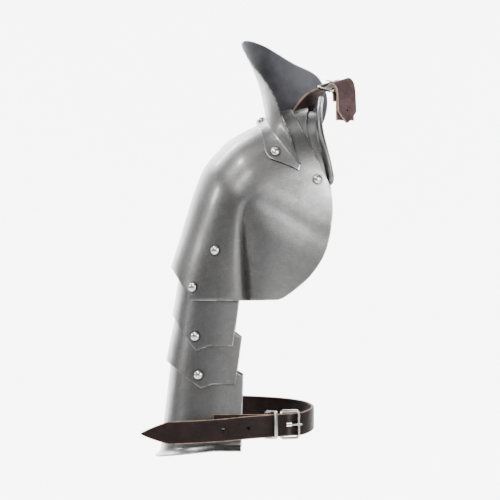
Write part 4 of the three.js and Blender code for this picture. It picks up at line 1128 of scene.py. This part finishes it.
def shoulder_strap():
    """The strap to the neck piece, with its chape, buckle and prong."""

    def wide_at(t):
        return NECK_BUCKLE[2].lerp(SEAT_WIDE, max((t - 0.78) / 0.22, 0))

    piece = strap("leather_shoulder_strap", NECK_ROUTE, wide_at, STRAP_THICK, 160, tipped(9, 4))
    run = NECK_ROUTE[1] - NECK_ROUTE[0]
    punch(piece, NECK_ROUTE[0].lerp(NECK_ROUTE[1], 0.62), run.cross(NECK_BUCKLE[2]).normalized(), 0.8)
    slot_strap(piece, NECK_BUCKLE)
    leathered(piece, TAB_LEATHER, "shoulder", "shoulder_leather", "shoulder_strap")

    far = [Vector((30.6, -5.4, -9)), Vector((30.4, -4.9, 3)), at_buckle(NECK_BUCKLE, -4.4, 0, -4)]
    turns = (175, 135, 95, 55, 15, -25, -65)
    tail = Vector((28.2, -1.6, 6))
    wide = NECK_BUCKLE[2]
    piece = chape("leather_shoulder_chape", NECK_BUCKLE, far, wide, turns, tail)
    run = far[1] - far[0]
    punch(piece, far[0].lerp(far[1], 0.5), run.cross(wide).normalized(), RIVET_SHANK + 0.4)
    leathered(piece, TAB_LEATHER, "shoulder", "shoulder_leather", "shoulder_chape")

    plated(wire_frame("wire_shoulder_buckle", NECK_BUCKLE), "shoulder", "shoulder_buckle")
    plated(prong("finger_shoulder_prong", NECK_BUCKLE), "shoulder", "shoulder_prong")


shoulder_strap()


# Floor, light and camera

FLOOR_WIDE = 18
FLOOR_FRONT = -6
FLOOR_LONG = 11
FLOOR_HEIGHT = -0.62
CURVE_RADIUS = 1.5
WALL_HIGH = 4
LEVEL_SHARE = 0.6
CURVE_SHARE = 0.2

MIDDLE = (-0.045, 0, -0.11)

# Lamps: name, place, what each is aimed at, size and power
LAMPS = [
    ("key_light", (-1.2, -1.9, 1.7), MIDDLE, 0.5, 34),
    ("front_light", (1.4, -3.4, 1.1), MIDDLE, 0.6, 150),
    ("side_light", (1.7, -1.2, 0.3), MIDDLE, 0.7, 10),
    ("top_light", (0.0, 0.2, 2.3), MIDDLE, 1.0, 8),
    ("back_light", (-1.6, 1.2, 0.8), MIDDLE, 1.0, 3),
    ("left_spark", (-2.0, 0.0, 0.56), MIDDLE, 0.1, 16),
    ("high_spark", (-1.25, -0.33, 1.7), MIDDLE, 0.12, 30),
    ("left_wash", (-2.6, 4.0, 3.4), (-0.78, 6.6, 0.0), 2.0, 1050),
    ("right_wash", (2.6, 4.0, 3.4), (0.78, 6.6, 0.0), 2.0, 1050),
]
ROOM_COLOUR = (0.95, 0.97, 1, 1)
ROOM_LIGHT = 0.28

CAMERA_PLACE = Vector((-0.03, -5.0, -0.112))
CAMERA_AIM = Vector((-0.045, 0, -0.112))
CAMERA_LENS = 452


def aimed(place, target):
    """The turn that points a lamp or the camera from a place at a target."""
    return (Vector(target) - Vector(place)).to_track_quat("-Z", "Y").to_euler()


def floor():
    """A pale floor that curves up behind the object."""
    bpy.ops.object.select_all(action="DESELECT")
    bpy.ops.mesh.primitive_grid_add(x_subdivisions=1, y_subdivisions=60, size=1)
    piece = named(bpy.context.object, "floor")
    for point in piece.data.vertices:
        run = point.co.y + 0.5
        level = min(run / LEVEL_SHARE, 1)
        turn = min(max(run - LEVEL_SHARE, 0) / CURVE_SHARE, 1) * math.pi / 2
        wall = max(run - LEVEL_SHARE - CURVE_SHARE, 0) / (1 - LEVEL_SHARE - CURVE_SHARE)
        point.co.x *= FLOOR_WIDE
        point.co.y = FLOOR_FRONT + level * FLOOR_LONG + math.sin(turn) * CURVE_RADIUS
        point.co.z = FLOOR_HEIGHT + (1 - math.cos(turn)) * CURVE_RADIUS + wall * WALL_HIGH
    finish = Finish("pale_floor", Roughness=0.9)
    tone = finish.noise(3, 2, 0.5)
    colour = finish.mixed(tone, (0.84, 0.84, 0.84), (0.88, 0.88, 0.88))
    piece.data.materials.append(finish.wire(Base_Color=colour))
    smooth(piece, 60)


def studio():
    for name, place, target, size, power in LAMPS:
        bpy.ops.object.light_add(type="AREA", location=place)
        light = bpy.context.object
        light.name = name
        light.data.energy = power
        light.data.size = size
        light.rotation_euler = aimed(place, target)
    world = bpy.data.worlds.new("soft_room")
    world.use_nodes = True
    background = world.node_tree.nodes["Background"]
    background.inputs["Color"].default_value = ROOM_COLOUR
    background.inputs["Strength"].default_value = ROOM_LIGHT
    bpy.context.scene.world = world


def camera():
    bpy.ops.object.camera_add(location=CAMERA_PLACE)
    view = bpy.context.object
    view.rotation_euler = aimed(CAMERA_PLACE, CAMERA_AIM)
    view.data.lens = CAMERA_LENS
    bpy.context.scene.camera = view


floor()
studio()
camera()
